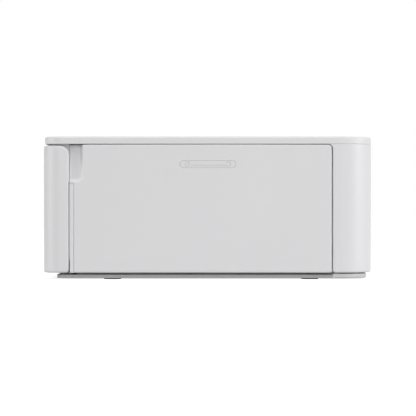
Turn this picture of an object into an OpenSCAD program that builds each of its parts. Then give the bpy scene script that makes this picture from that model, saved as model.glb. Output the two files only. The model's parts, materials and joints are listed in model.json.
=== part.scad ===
// Compact photo printer: a flat box that stands on four rubber feet. A drop-down front cover hides the
// paper bay, and a side door hides the ribbon cassette, its thermal head and the gear train.
// X runs along the long side, with the side door at +X. The front cover is at -Y, and Z is up.
// The origin is at the centre of the box on the surface that it stands on.

/* [Body] */
// Overall width, left to right
body_w = 182.2; // [176:0.2:190]
// Overall depth, front to rear
body_d = 133.0; // [128:0.2:138]
// Overall height, feet included
body_h = 57.6; // [56:0.2:62]
// Wall thickness of the outer shells
wall = 2.2; // [2.1:0.05:2.2]
// Radius of the front corners seen from above
front_r = 7; // [6.5:0.1:7.2]
// Radius of the rear corners seen from above
rear_r = 14; // [12:0.5:15]
// Height of the lid's edge
lid_t = 3.0; // [2.9:0.1:3.0]
// Height that the feet stand proud
foot_h = 0.5; // [0.4:0.1:0.6]

/* [Front cover] */
// How far the cover's sides wrap back round the corners
cover_depth = 10.5; // [10.0:0.1:10.6]
// Rounding of the cover's upper rear corners
cover_top_r = 3.6; // [2:0.1:4]
// Height of the hinge axis above the table
cover_axis_z = 5.3; // [5.2:0.05:5.4]
// Radius of the hinge pins
cover_pin_r = 0.8; // [0.7:0.05:0.85]

/* [Side door] */
// Distance of the door's rear edge in from the rear of the body
door_rear_in = 16.6; // [16.5:0.1:16.8]
// Distance of the hinge axis in from the door's outer face
door_axis_in = 2.6; // [2.5:0.05:2.6]
// Distance of the hinge axis in from the door's rear edge
door_axis_back = 3.0; // [2.9:0.05:3.0]
// Radius of the door's hinge pins
door_pin_r = 0.7; // [0.6:0.05:0.7]
// Height of the finger recess
recess_h = 15.6; // [14:0.2:17]

/* [Printing mechanism] */
// Radius of the rubber platen roller
platen_r = 6; // [5.6:0.1:6]
// Radius of the ribbon wound on the supply spool
supply_roll_r = 6.8; // [4:0.2:6.8]
// Radius of the ribbon wound on the take-up spool
take_up_roll_r = 4.5; // [3.5:0.5:4.5]
// Width of the ribbon
ribbon_w = 106; // [102:1:108]

/* [Controls] */
// Width of the display window
window_w = 84; // [70:1:84]
// Depth of the display window, front to rear
window_d = 62; // [50:1:62]
// Travel of each push button
button_travel = 0.6; // [0.4:0.1:0.7]

/* [Hidden] */
$fn = 64;

// Clearances
gap = 0.4;         // visible joint between two outer pieces
run = 0.05;        // radial running clearance of a shaft in its bore
seat = 0.02;       // radial clearance of a piece pressed into its seat
over = 1;          // how far a cutting shape runs past a face

// Outer casing levels and faces
hw = body_w / 2;
hd = body_d / 2;
lid_z = body_h - lid_t;            // joint below the lid
body_z = 2.7;                      // bottom edge of the shells
floor_top = 1.9;                   // inside face of the base tray
tray_in = 1.2;                     // how far the tray's edge stands in from the sides
tray_front = -hd + 5.4;
tray_rear = hd - 2.4;
in_x = hw - wall;                  // inner face of the side walls
in_y = hd - wall;                  // inner face of the rear wall
rim_t = 1.8;
rim_z = 8;
apron_y = tray_front + 1.3;        // outside face of the low wall behind the front cover's hinge
apron_z = 6.5;
lid_front_in = 0.4;
lid_skin = 2.2;
lid_under = body_h - lid_skin;     // underside of the lid inside its rim
lid_rim = 4.6;

// Front bezel
bezel_x = in_x - 0.5;
bezel_y = -hd + 2.9;
bezel_t = 2.2;
mouth_w = ribbon_w + 12;
tunnel_t = 1.6;
post_x = hw - 9.3;
post_front_y = -hd + 10.1;
post_rear_y = hd - 9;
post_r = 3.4;
post_z = 3.4;
post_places = [[post_x, post_front_y], [post_x, post_rear_y]];
post_top = 16;
screw_top = 12;
foot_x = hw - 12.1;
foot_y = [-hd + 27.8, hd - 25.2];
foot_sink = 0.5;
screw_r = 1.3;
screw_head_r = 2.6;

// Front cover
cover_z1 = lid_z - 0.9;
cover_y1 = -hd + cover_depth;
cover_low_r = 1.4;
cover_edge_r = 1.2;
cover_axis_y = bezel_y;
cover_sweep_r = 3.8;               // room that the cover's lower edge needs round its axis
cover_hinge_x = hw - 19.1;
cover_ear_r = 1.7;
cover_knuckle_r = 1.65;
cover_knuckle_w = 6;
cover_ear_w = 2;
cover_ear_x = cover_knuckle_w / 2 + 0.3;

// Side door and its frame
strip_y = cover_y1 + gap;
strip_w = 1.5;
door_rear_y = hd - door_rear_in;
door_front_y = strip_y + strip_w + 0.3;
door_x0 = hw - wall;
door_z1 = lid_z - gap;
door_axis_x = hw - door_axis_in;
door_axis_y = door_rear_y - door_axis_back;
door_sweep_r = sqrt(pow(door_axis_in, 2) + pow(door_axis_back, 2)) + 0.3;
shell_front_y = door_rear_y + 0.45;
frame_x1 = door_x0 - 0.5;
frame_t = 1.8;
frame_x0 = frame_x1 - frame_t;
frame_y1 = door_axis_y - 2.5;
recess_z = lid_z - recess_h;
recess_y = strip_y + 4.8;
recess_depth = 3.5;
recess_wall = 1.2;
recess_r = (pow(recess_depth, 2) + pow(recess_h, 2)) / (2 * recess_depth);
door_ear_z = [10, lid_z - 10.6];
door_ear_h = 3;
door_ear_half = 1.2;
door_knuckle_r = 1.6;
door_knuckle_h = 4;
bracket_x1 = door_axis_x - 4.5;
bracket_x0 = bracket_x1 - 2;
latch_y = door_front_y + 5.5;
latch_z = lid_z / 2;

// The feed train fills the depth of the body, so its lengths and its teeth go with the depth.
// Roller and spool centres are [y, z].
reach = body_d / 133;
gear_m = 0.8 * reach;                          // module of the gear teeth
paper_z = body_h * 26 / 57.6;                  // level at which the paper passes
platen = [12 * reach, paper_z - platen_r];
capstan_r = 4;
capstan = [53 * reach, paper_z - 0.2 - capstan_r];
pinch_r = 3.5;
pinch = [capstan[0], paper_z + 0.1 + pinch_r];
motor_r = 8.5;
motor_len = 16;
motor = [-42 * reach, level(44)];
plate_x0 = ribbon_w / 2 + 11;                  // inner faces of the chassis side plates
plate_t = 1.2;
plate_x1 = plate_x0 + plate_t;
plate_y = [-30 * reach, 59 * reach];
plate_z0 = 9.2;
plate_leg = 6;
mouth_top = paper_z + 6;
tunnel_end = -26 * reach;

// Gear train on the left plate, as tooth numbers
pinion_n = 12;
idler_n = 30;
compound_n = 16;
take_up_n = 18;
roller_n = 24;
backlash = 0.3;
inner_x = -plate_x1 - 3.8;                     // left face of the inner gear layer
outer_x = inner_x - 5;                         // left face of the outer gear layer
inner_t = 3;
outer_t = 4;
axle_r = 1.5;

// The mechanism above the paper is spread evenly between the paper and the lid
function level(z) = paper_z + (z - 26) * (lid_under - paper_z) / 29.4;
function pitch_r(n) = gear_m * n / 2;
function polar(c, r, a) = [c[0] + r * cos(a), c[1] + r * sin(a)];
function heading(a, b) = atan2(b[1] - a[1], b[0] - a[0]);
function span(a, b) = norm(b - a);
// The upper of the two points that lie ra from a and rb from b
function meet(a, ra, b, rb) =
    let (d = span(a, b), along = (ra * ra - rb * rb + d * d) / (2 * d), h = sqrt(ra * ra - along * along))
    polar(polar(a, along, heading(a, b)), h, heading(a, b) + 90);
// Angle of one tooth of gear b, so that it meshes with gear a, whose tooth is at angle phase_a
function mesh_phase(a, b, na, nb, phase_a) =
    let (line = heading(a, b)) line + 180 + 180 / nb - (phase_a - line) * na / nb;

idler_a = polar(motor, pitch_r(pinion_n + idler_n), -24);
idler_b = meet(idler_a, pitch_r(2 * idler_n), platen, pitch_r(idler_n + roller_n));
idler_c = meet(platen, pitch_r(idler_n + roller_n), capstan, pitch_r(idler_n + roller_n));
take_up = polar(idler_a, pitch_r(compound_n + take_up_n), -5);
lobe_lift = 1.6;                               // clearance between the paper and the cassette
lobe_wall = 1;
lobe_rim = 0.2;                                // how far the end plates stand out past the lobes
roll_room = 0.6;                               // room between a full roll and its lobe
supply_lobe_r = supply_roll_r + roll_room + lobe_wall + lobe_rim;
supply = [32 * reach, paper_z + lobe_lift + supply_lobe_r];
take_up_lobe_r = take_up[1] - paper_z - lobe_lift;

platen_phase = 0;
phase_b = mesh_phase(platen, idler_b, roller_n, idler_n, platen_phase);
phase_c = mesh_phase(platen, idler_c, roller_n, idler_n, platen_phase);
phase_a = mesh_phase(idler_b, idler_a, idler_n, idler_n, phase_b);
phase_capstan = mesh_phase(idler_c, capstan, idler_n, roller_n, phase_c);
phase_pinion = mesh_phase(idler_a, motor, idler_n, pinion_n, phase_a);
phase_take_up = mesh_phase(idler_a, take_up, compound_n, take_up_n, phase_a);

// Rollers, shafts and the parts of the head
platen_w = ribbon_w + 4;
platen_shaft_r = 2.5;
capstan_shaft_r = 2;
pinch_axle_r = 1.5;
bush_r = 4;
shaft_left = outer_x - 0.5;
shaft_right = plate_x1 + 1.3;
head_pivot = [48 * reach, level(50)];
head_shaft_r = 2;
head_y = [platen[0] - 7, platen[0] + 7];
head_z = paper_z + 4;
head_w = ribbon_w - 6;
arm_z = head_pivot[1] - 2.5;
arm_t = 1.5;
arm_barrel_r = 3.4;
spring_x = plate_x0 - 4;
pick_pivot = [-24 * reach, level(46.5)];
pick_axis = [-36 * reach, level(37.5)];
pick_shaft_r = 1.6;
pick_r = 4;
pick_arm_x = 13;
bar_r = 2;
bars = [[-20 * reach, paper_z - 7], [34 * reach, paper_z - 11]];
guide_z = paper_z - 1.5;
guide_y = [-24 * reach, 48 * reach];

// Ribbon cassette
case_x0 = -ribbon_w / 2 - 9;
case_x1 = ribbon_w / 2 + 6;
case_end_t = 3;
grip_x1 = case_x1 + 15;
hub_r = 2.5;
drive_hub_r = 3.2;
dog_r = 1.6;
eject_axis = [grip_x1 - 4, paper_z - 10];     // [x, z] of the lever's pivot
eject_y = [take_up[0] - 5.4, take_up[0] + 0.6];

// Controls on the lid, as [x, y]
window_c = [hw - 52 - window_w / 2, 4];
pad_c = [hw - 25.1, 4];
pad_step = 11;
button_r = 4;
button_top = body_h - 0.1;
button_board_z = lid_under - 4.8;
button_board_x = [hw - 44.1, hw - 6.1];
button_board_y = [-45, 37];
board_t = 1.2;
dome_h = 0.8;
light_at = [pad_c[0], -22];

// Fan and vent on the rear wall
fan_size = 20;
fan_t = 6;
fan_z = lid_z - 0.2 - fan_size / 2;
vent_w = 52;
vent_z = [lid_z - 17.6, lid_z - 3.6];
slot_w = ribbon_w + 6;
slot_z = [paper_z - 3, paper_z + 3];
jack_x = hw - 20.1;
jack_z = 11;
usb_y = -5;
card_y = 18;
board_z = 4.6;
board_x0 = -in_x + 2.4;
board_y = [-22 * reach, 44 * reach];

// ---------- building blocks ----------

// A box between two corners
module block(a, b) {
    translate(a) cube(b - a);
}

// Draws its children, made in the XY plane and along +Z, in the YZ plane and along +X
module along_x(x, at) {
    translate([x, at[0], at[1]]) rotate([90, 0, 90]) children();
}

// A cylinder along +X from x0 to x1, centred on at = [y, z]
module bar_x(x0, x1, at, r, sides = 64) {
    along_x(x0, at) cylinder(h = x1 - x0, r = r, $fn = sides);
}

// A cylinder along +Y from y0 to y1, centred on [x, z]
module bar_y(y0, y1, at, r) {
    translate([at[0], y0, at[1]]) rotate([-90, 0, 0]) cylinder(h = y1 - y0, r = r);
}

// A cylinder along +Z from z0 to z1, centred on [x, y]
module bar_z(z0, z1, at, r) {
    translate([at[0], at[1], z0]) cylinder(h = z1 - z0, r = r);
}

// A rectangle whose front and rear corners are rounded differently
module plan(x0, x1, y0, y1, rf, rr) {
    polygon([[x0, y0 + rf], [x0 + rf, y0], [x1 - rf, y0], [x1, y0 + rf],
        [x1, y1 - rr], [x1 - rr, y1], [x0 + rr, y1], [x0, y1 - rr]]);
    for (x = [x0 + rf, x1 - rf]) translate([x, y0 + rf]) circle(r = rf);
    for (x = [x0 + rr, x1 - rr]) translate([x, y1 - rr]) circle(r = rr);
}

// A plan drawn up from z0 to z1
module slab(z0, z1, x0, x1, y0, y1, rf, rr) {
    translate([0, 0, z0]) linear_extrude(z1 - z0) plan(x0, x1, y0, y1, rf, rr);
}

// A square corner, r across, with the round of radius r at its inner end taken out of it.
// It cuts a rounded edge along X at [y, z]; sy and sz point to the side that is cut away.
module edge_cut_x(x0, x1, y, z, sy, sz, r) {
    difference() {
        block([x0, min(y, y + sy * (r + over)), min(z, z + sz * (r + over))],
            [x1, max(y, y + sy * (r + over)), max(z, z + sz * (r + over))]);
        bar_x(x0 - over, x1 + over, [y, z], r);
    }
}

// One spur gear in the YZ plane with its teeth, its bore and a tooth at angle phase
module gear(n, x, t, at, phase, bore) {
    rp = pitch_r(n);
    tip = rp + 0.9 * gear_m;
    root = rp - 1.2 * gear_m;
    half = (PI * gear_m / 2 - backlash) / 2;
    half_tip = half - 0.9 * gear_m * tan(20);
    half_root = half + 1.2 * gear_m * tan(20) * 0.8;
    profile = [[root, -half_root], [rp, -half], [tip, -half_tip], [tip, half_tip], [rp, half], [root, half_root]];
    along_x(x, at) linear_extrude(t) difference() {
        polygon([for (i = [0:n - 1]) for (p = profile)
            let (a = phase + i * 360 / n + p[1] / p[0] * 180 / PI) [p[0] * cos(a), p[0] * sin(a)]]);
        circle(r = bore);
    }
}

// ---------- casing ----------

module base_tray() color("whitesmoke") {
    difference() {
        union() {
            slab(foot_h, floor_top, -hw + tray_in, hw - tray_in, tray_front, tray_rear, 5, 12);
            difference() {
                slab(floor_top, rim_z, -in_x, frame_x0, apron_y, in_y, 1, rear_r - wall);
                slab(floor_top - over, rim_z + over, -in_x + rim_t, frame_x0 - rim_t, apron_y + rim_t - 0.2,
                    in_y - rim_t, 1, rear_r - wall - rim_t);
                block([-hw, apron_y - over, apron_z], [hw, apron_y + 3, rim_z + over]);
                block([frame_x0 - 3, door_axis_y - 6, floor_top], [hw, door_axis_y + 9, rim_z + over]);
                for (s = [-1, 1]) rim_gap(s, post_x - 3.8, apron_y - over, post_front_y + post_r);
                rim_gap(1, jack_x - 6, post_rear_y - 7.5, hd);
                rim_gap(-1, post_x - 3.8, post_rear_y - 7.5, hd);
                block([-hw, usb_y - 8, board_z - 0.6], [-in_x + 3, card_y + 16, rim_z + over]);
            }
            for (s = [-1, 1]) {
                bar_z(floor_top, post_z, [s * post_x, post_front_y], post_r);
                bar_z(floor_top, post_z, [s * post_x, post_rear_y], post_r);
            }
            for (s = [-1, 1]) for (e = [-1, 1]) cover_ear(s * cover_hinge_x, e);
            for (x = [board_x0 + 10, -20, plate_x0 - 12]) for (y = board_y + [6, -6]) bar_z(floor_top, board_z, [x, y], 2.5);
        }
        for (s = [-1, 1]) {
            for (c = post_places) {
                bar_z(-over, floor_top, [s * c[0], c[1]], screw_head_r + 0.3);
                bar_z(0, post_z + over, [s * c[0], c[1]], screw_r + 0.2);
            }
            for (e = [-1, 1]) cover_ear_bore(s * cover_hinge_x, e);
        }
        for (s = [-1, 1]) for (y = foot_y) foot(s * foot_x, y, foot_h - over, foot_h + foot_sink, 0.05);
    }
}

// Takes the rim away from x outwards on one side, between y0 and y1, to make room for a post
module rim_gap(side, x, y0, y1) {
    block([min(side * x, side * hw), y0, floor_top], [max(side * x, side * hw), y1, rim_z + over]);
}

// One of the tray's two ears beside a knuckle of the front cover
module cover_ear(x, side) {
    x0 = side > 0 ? x + cover_ear_x : x - cover_ear_x - cover_ear_w;
    bar_x(x0, x0 + cover_ear_w, [cover_axis_y, cover_axis_z], cover_ear_r);
    block([x0, cover_axis_y, cover_axis_z - cover_ear_r], [x0 + cover_ear_w, apron_y + 1, apron_z + 0.5]);
}

module cover_ear_bore(x, side) {
    x0 = side > 0 ? x + cover_ear_x : x - cover_ear_x - cover_ear_w;
    bar_x(x0 - 0.1, x0 + cover_ear_w + 0.1, [cover_axis_y, cover_axis_z], cover_pin_r + seat);
}

// A rubber foot with round ends, 6.9 wide
module foot(x, y, z0, z1, grow) {
    r = 3.45 + grow;
    for (s = [-1, 1]) bar_z(z0, z1, [x + s * 5, y], r);
    block([x - 5, y - r, z0], [x + 5, y + r, z1]);
}

module rubber_feet() color("dimgray") {
    for (s = [-1, 1]) for (y = foot_y) foot(s * foot_x, y, 0, foot_h + foot_sink, 0);
}

module base_screws() color("silver") {
    for (s = [-1, 1]) for (c = post_places) {
        at = [s * c[0], c[1]];
        difference() {
            bar_z(floor_top - 1.1, floor_top, at, screw_head_r);
            for (a = [0, 90]) translate([at[0], at[1], floor_top - 1.1]) rotate(a) cube([2.6, 0.6, 1], center = true);
        }
        bar_z(floor_top, screw_top, at, screw_r);
    }
}

// The left side, the rear and the short piece of the right side behind the door
module rear_shell() color("whitesmoke") {
    difference() {
        union() {
            difference() {
                slab(body_z, lid_z, -hw, hw, -hd, hd, front_r, rear_r);
                slab(body_z - over, lid_z + over, -in_x, in_x, -hd + wall, in_y, front_r - wall, rear_r - wall);
                block([-hw - over, -hd - over, 0], [hw + over, strip_y, body_h]);
                block([0, strip_y - over, 0], [hw + over, shell_front_y - 0.45, body_h]);
                bar_z(0, body_h, [door_axis_x, door_axis_y], door_sweep_r);
            }
            for (s = [-1, 1]) {
                bar_z(post_z, post_top, [s * post_x, post_rear_y], post_r);
                block([s * post_x - 0.8, post_rear_y, post_z], [s * post_x + 0.8, in_y + 0.5, post_top]);
            }
        }
        for (s = [-1, 1]) bar_z(0, screw_top + 1, [s * post_x, post_rear_y], screw_r + seat);
        block([-vent_w / 2, in_y - over, vent_z[0]], [vent_w / 2, hd + over, vent_z[1]]);
        block([-slot_w / 2, in_y - over, slot_z[0]], [slot_w / 2, hd + over, slot_z[1]]);
        bar_y(in_y - over, hd + over, [jack_x, jack_z], 4.2);
        block([-hw - over, usb_y - 4.8, board_z + 1.4], [-in_x + over, usb_y + 4.8, board_z + 5.0]);
        block([-hw - over, card_y - 12.8, board_z + 1.4], [-in_x + over, card_y + 12.8, board_z + 4.6]);
    }
}

module rear_vent_grille() color("gainsboro") {
    difference() {
        block([-vent_w / 2 + 0.2, in_y + 0.6, vent_z[0] + 0.2], [vent_w / 2 - 0.2, hd - 0.2, vent_z[1] - 0.2]);
        for (x = [-22.5:3:22.5]) block([x - 0.9, in_y, vent_z[0] + 1.6], [x + 0.9, hd, vent_z[1] - 1.6]);
    }
}

module top_cover() color("whitesmoke") {
    wx = window_w / 2;
    wy = window_d / 2;
    difference() {
        union() {
            difference() {
                slab(lid_z, body_h, -hw, hw, -hd + lid_front_in, hd, front_r, rear_r);
                slab(lid_z - over, lid_under, -hw + lid_rim, hw - lid_rim, -hd + lid_rim + 0.7, hd - lid_rim,
                    3, rear_r - lid_rim);
            }
            for (x = button_board_x + [3, -3]) for (y = button_board_y + [3, -3]) {
                bar_z(button_board_z + board_t, lid_under + 0.2, [x, y], 1.8);
            }
        }
        translate([window_c[0], window_c[1]]) {
            block([-wx - 0.1, -wy - 0.1, body_h - 1.1], [wx + 0.1, wy + 0.1, body_h + over]);
            block([-wx + 2.5, -wy + 2.5, lid_z], [wx - 2.5, wy - 2.5, body_h + over]);
        }
        for (c = button_places()) bar_z(lid_z, body_h + over, c, button_r + 0.25);
        bar_z(lid_z, body_h + over, light_at, 1 + seat);
    }
}

module front_bezel() color("whitesmoke") {
    mx = mouth_w / 2;
    difference() {
        union() {
            difference() {
                slab(body_z, lid_z, -bezel_x, bezel_x, bezel_y, 0, front_r - 2.7, 1);
                slab(body_z - over, lid_z + over, -bezel_x + frame_t, bezel_x - frame_t, bezel_y + bezel_t, over,
                    front_r - 2.7 - frame_t, 1);
                block([-hw, strip_y - gap, 0], [hw, over * 2, body_h]);
                block([-mx, bezel_y - over, 0], [mx, bezel_y + bezel_t + over, mouth_top]);
            }
            for (s = [-1, 1]) {
                block([s * (mx + tunnel_t / 2) - tunnel_t / 2, bezel_y + bezel_t - 0.2, rim_z + 1.2],
                    [s * (mx + tunnel_t / 2) + tunnel_t / 2, tunnel_end, mouth_top + tunnel_t]);
                bar_z(post_z, post_top, [s * post_x, post_front_y], post_r);
                block([min(s * post_x, s * (bezel_x - 0.5)), post_front_y - 0.8, post_z],
                    [max(s * post_x, s * (bezel_x - 0.5)), post_front_y + 0.8, post_top]);
            }
            difference() {
                block([-mx - tunnel_t, bezel_y + bezel_t - 0.2, mouth_top], [mx + tunnel_t, tunnel_end, mouth_top + tunnel_t]);
                block([-17, pick_axis[0] - 8, mouth_top - over], [17, tunnel_end + over, mouth_top + tunnel_t + over]);
            }
        }
        bar_x(-hw, hw, [cover_axis_y, cover_axis_z], cover_sweep_r);
        block([-hw, -hd, 0], [hw, cover_axis_y + cover_sweep_r, cover_axis_z]);
        for (s = [-1, 1]) bar_z(0, screw_top + 1, [s * post_x, post_front_y], screw_r + seat);
    }
}

// The wall behind the side door, with the openings for the cassette and its eject lever
module door_frame() color("gainsboro") {
    difference() {
        union() {
            block([frame_x0, strip_y, body_z], [frame_x1, frame_y1, lid_z]);
            block([frame_x0, strip_y, body_z], [hw, strip_y + strip_w, recess_z - 0.2]);
        }
        block([frame_x0 - over, strip_y - over, recess_z - 0.4], [frame_x1 + over, recess_y + 1.6, body_h]);
        block([frame_x0 - over, take_up[0] - take_up_lobe_r - 2.5, paper_z + 0.4],
            [frame_x1 + over, frame_y1 + over, supply[1] + supply_lobe_r + 1]);
        block([frame_x0 - over, eject_y[0] - 3.5, 8.5], [frame_x1 + over, eject_y[1] + 3.5, paper_z + 1]);
        block([frame_x0 - over, latch_y - 2, latch_z - 5], [frame_x1 + over, latch_y + 3.5, latch_z + 5]);
    }
}

module hinge_bracket() color("silver") {
    difference() {
        union() {
            block([bracket_x0, frame_y1 + 0.1, floor_top], [bracket_x1, door_axis_y + 6.1, lid_z - 1]);
            for (z = door_ear_z) {
                block([bracket_x1 - 0.5, door_axis_y - door_ear_half, z], [door_axis_x, door_axis_y + door_ear_half, z + door_ear_h]);
                bar_z(z, z + door_ear_h, [door_axis_x, door_axis_y], door_ear_half);
            }
        }
        for (z = door_ear_z) bar_z(z - over, z + door_ear_h + over, [door_axis_x, door_axis_y], door_pin_r + seat);
    }
}

module ink_door_hinge_pins() color("silver") {
    for (z = door_ear_z) bar_z(z - 3.5, z + door_ear_h + 3.5, [door_axis_x, door_axis_y], door_pin_r);
}

module ink_door() color("whitesmoke") {
    axis = [door_axis_x, door_axis_y];
    top_r = 1.2;
    difference() {
        union() {
            block([door_x0, door_front_y, body_z], [hw, door_rear_y, door_z1]);
            block([door_x0, strip_y + 0.2, recess_z], [hw, recess_y + recess_wall, door_z1]);
            block([hw - recess_depth - recess_wall, strip_y + 0.2, recess_z], [hw, recess_y + recess_wall, door_z1]);
            for (z = door_ear_z) {
                bar_z(z + door_ear_h + 0.2, z + door_ear_h + 0.2 + door_knuckle_h, axis, door_knuckle_r);
                bar_z(z - 0.2 - door_knuckle_h, z - 0.2, axis, door_knuckle_r);
            }
            block([frame_x0 - 1.4, latch_y - 1, latch_z - 4], [door_x0 + 0.2, latch_y + 0.6, latch_z + 4]);
            block([frame_x0 - 1.4, latch_y - 1, latch_z - 4], [frame_x0 - 0.4, latch_y + 1.6, latch_z + 4]);
        }
        bar_y(strip_y - over, recess_y, [hw - recess_depth + recess_r, lid_z], recess_r);
        for (z = door_ear_z) {
            block([door_axis_x - over, door_axis_y - 1.6, z - 0.2], [hw - 0.8, door_rear_y + over, z + door_ear_h + 0.2]);
            bar_z(z - 1 - door_knuckle_h, z + door_ear_h + 1 + door_knuckle_h, axis, door_pin_r + run);
        }
        edge_cut_x(door_x0 - over, hw + over, door_rear_y - top_r, door_z1 - top_r, 1, 1, top_r);
    }
}

module front_cover_hinge_pins() color("silver") {
    pin_half = cover_ear_x + cover_ear_w;
    for (s = [-1, 1]) {
        bar_x(s * cover_hinge_x - pin_half, s * cover_hinge_x + pin_half, [cover_axis_y, cover_axis_z], cover_pin_r);
    }
}

module front_cover() color("whitesmoke") {
    axis = [cover_axis_y, cover_axis_z];
    pocket_r = cover_ear_r + 0.3;
    difference() {
        union() {
            difference() {
                slab(body_z, cover_z1, -hw, hw, -hd, 0, front_r, 1);
                slab(body_z - over, cover_z1 + over, -in_x, in_x, -hd + wall, over, front_r - wall, 1);
                block([-hw - over, cover_y1, 0], [hw + over, 2 * over, body_h]);
                for (s = [-1, 1]) for (e = [-1, 1]) {
                    x0 = s * cover_hinge_x + (e > 0 ? cover_ear_x : -cover_ear_x - cover_ear_w);
                    bar_x(x0 - 0.3, x0 + cover_ear_w + 0.3, axis, pocket_r);
                    block([x0 - 0.3, axis[0] - pocket_r, 0], [x0 + cover_ear_w + 0.3, cover_y1, axis[1]]);
                }
            }
            for (s = [-1, 1]) {
                bar_x(s * cover_hinge_x - cover_knuckle_w / 2, s * cover_hinge_x + cover_knuckle_w / 2, axis, cover_knuckle_r);
            }
        }
        for (s = [-1, 1]) {
            bar_x(s * cover_hinge_x - cover_knuckle_w, s * cover_hinge_x + cover_knuckle_w, axis, cover_pin_r + run);
        }
        edge_cut_x(-hw - over, hw + over, -hd + cover_edge_r, body_z + cover_edge_r, -1, -1, cover_edge_r);
        edge_cut_x(-hw - over, hw + over, cover_y1 - cover_low_r, body_z + cover_low_r, 1, -1, cover_low_r);
        edge_cut_x(-hw - over, hw + over, cover_y1 - cover_top_r, cover_z1 - cover_top_r, 1, 1, cover_top_r);
    }
}

// ---------- display and controls ----------

module display_window() color("black") {
    translate([window_c[0], window_c[1]]) {
        block([-window_w / 2, -window_d / 2, body_h - 1.1], [window_w / 2, window_d / 2, body_h - 0.1]);
    }
}

module lcd_module() color("dimgray") {
    translate([window_c[0], window_c[1]]) {
        block([-window_w / 2 + 1.5, -window_d / 2 + 1.5, lid_under - 3.4],
            [window_w / 2 - 1.5, window_d / 2 - 1.5, lid_under]);
    }
}

function button_places() = [
    [pad_c[0], -38],
    [pad_c[0] - 9, 26],
    [pad_c[0] + 9, 26],
    pad_c,
    pad_c + [0, pad_step],
    pad_c - [0, pad_step],
    pad_c - [pad_step, 0],
    pad_c + [pad_step, 0]];

module button_board() color("darkgreen") {
    block([button_board_x[0], button_board_y[0], button_board_z],
        [button_board_x[1], button_board_y[1], button_board_z + board_t]);
    for (c = button_places()) bar_z(button_board_z + board_t, button_board_z + board_t + dome_h, c, 2.5);
}

// One push button: cap, flange under the lid and plunger
module button(n) color("gainsboro") {
    at = button_places()[n];
    tip = button_board_z + board_t + dome_h + button_travel + 0.1;
    bar_z(lid_under - 0.4, button_top, at, button_r);
    bar_z(lid_under - 1.1, lid_under - 0.4, at, button_r + 0.8);
    bar_z(tip, lid_under - 1.1, at, 1.2);
}

module status_light() color("lightgreen") {
    bar_z(button_board_z + board_t, button_top, light_at, 1);
}

// ---------- chassis ----------

// A chassis side plate between x0 and x0 + plate_t, without its holes
module side_plate(x0) {
    x1 = x0 + plate_t;
    block([x0, plate_y[0], plate_z0], [x1, plate_y[1], lid_under - 5.9]);
    block([x0, head_pivot[0] - 6, plate_z0], [x1, head_pivot[0] + 6, lid_under - 2.4]);
    for (y = [plate_y[0], plate_y[1] - plate_leg]) block([x0, y, floor_top], [x1, y + plate_leg, plate_z0 + 0.2]);
}

// The bearing holes that both side plates have
module side_plate_holes(x0) {
    x1 = x0 + plate_t;
    for (c = [platen, capstan]) bar_x(x0 - over, x1 + over, c, bush_r + seat);
    bar_x(x0 - over, x1 + over, pinch, pinch_axle_r + run);
    bar_x(x0 - over, x1 + over, head_pivot, head_shaft_r + seat);
    bar_x(x0 - over, x1 + over, pick_pivot, pick_shaft_r + seat);
}

module chassis_left_plate() color("silver") {
    difference() {
        side_plate(-plate_x1);
        side_plate_holes(-plate_x1);
        bar_x(-plate_x1 - over, -plate_x0 + over, motor, 3);
        bar_x(-plate_x1 - over, -plate_x0 + over, take_up, drive_hub_r + run);
    }
    for (c = [idler_a, idler_b, idler_c]) bar_x(shaft_left, -plate_x1 + 0.2, c, axle_r);
}

module chassis_right_plate() color("silver") {
    difference() {
        union() {
            side_plate(plate_x0);
            for (y = [eject_y[0] - 1.7, eject_y[1] + 0.5]) {
                block([plate_x1 - 0.2, y, eject_axis[1] - 2.5], [eject_axis[0] + 2, y + 1.2, eject_axis[1] + 2.5]);
            }
        }
        side_plate_holes(plate_x0);
        block([plate_x0 - over, take_up[0] - take_up_lobe_r - 1.5, paper_z + 0.6],
            [plate_x1 + over, supply[0] + supply_lobe_r + 1.4, supply[1] + supply_lobe_r + 1]);
        bar_y(eject_y[0] - 3, eject_y[1] + 3, eject_axis, 1 + run);
    }
}

module chassis_cross_bars() color("silver") {
    for (c = bars) bar_x(-plate_x0, plate_x0, c, bar_r);
    bar_x(-plate_x1, plate_x1, pick_pivot, pick_shaft_r);
}

module paper_guide_plate() color("silver") {
    difference() {
        block([-plate_x0, guide_y[0], guide_z], [plate_x0, guide_y[1], guide_z + 1]);
        block([-platen_w / 2 - 1.5, platen[0] - platen_r - 1.5, guide_z - over],
            [platen_w / 2 + 1.5, platen[0] + platen_r + 1.5, guide_z + 1 + over]);
    }
}

module roller_bushes() color("goldenrod") {
    for (s = [-1, 1]) {
        bush(s * (plate_x0 + plate_t / 2), platen, platen_shaft_r);
        bush(s * (plate_x0 + plate_t / 2), capstan, capstan_shaft_r);
    }
}

// A flanged bush centred on x for a shaft of radius r
module bush(x, at, r) {
    difference() {
        bar_x(x - 1.4, x + 1.4, at, bush_r);
        bar_x(x - 2, x + 2, at, r + run);
    }
}

// ---------- paper feed ----------

module platen_roller() color("dimgray") {
    difference() {
        bar_x(-platen_w / 2, platen_w / 2, platen, platen_r);
        bar_x(-platen_w, platen_w, platen, platen_shaft_r + seat);
    }
}

module platen_shaft() color("silver") {
    bar_x(shaft_left, shaft_right, platen, platen_shaft_r);
}

module platen_gear() color("ivory") {
    gear(roller_n, outer_x, outer_t, platen, platen_phase, platen_shaft_r + seat);
}

module capstan_roller() color("gray") {
    bar_x(-head_w / 2, head_w / 2, capstan, capstan_r);
    bar_x(shaft_left, shaft_right, capstan, capstan_shaft_r);
}

module capstan_gear() color("ivory") {
    gear(roller_n, outer_x, outer_t, capstan, phase_capstan, capstan_shaft_r + seat);
}

module pinch_roller() color("dimgray") {
    bar_x(-head_w / 2 + 2, head_w / 2 - 2, pinch, pinch_r);
    bar_x(-plate_x1 - 0.8, plate_x1 + 0.8, pinch, pinch_axle_r);
}

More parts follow.
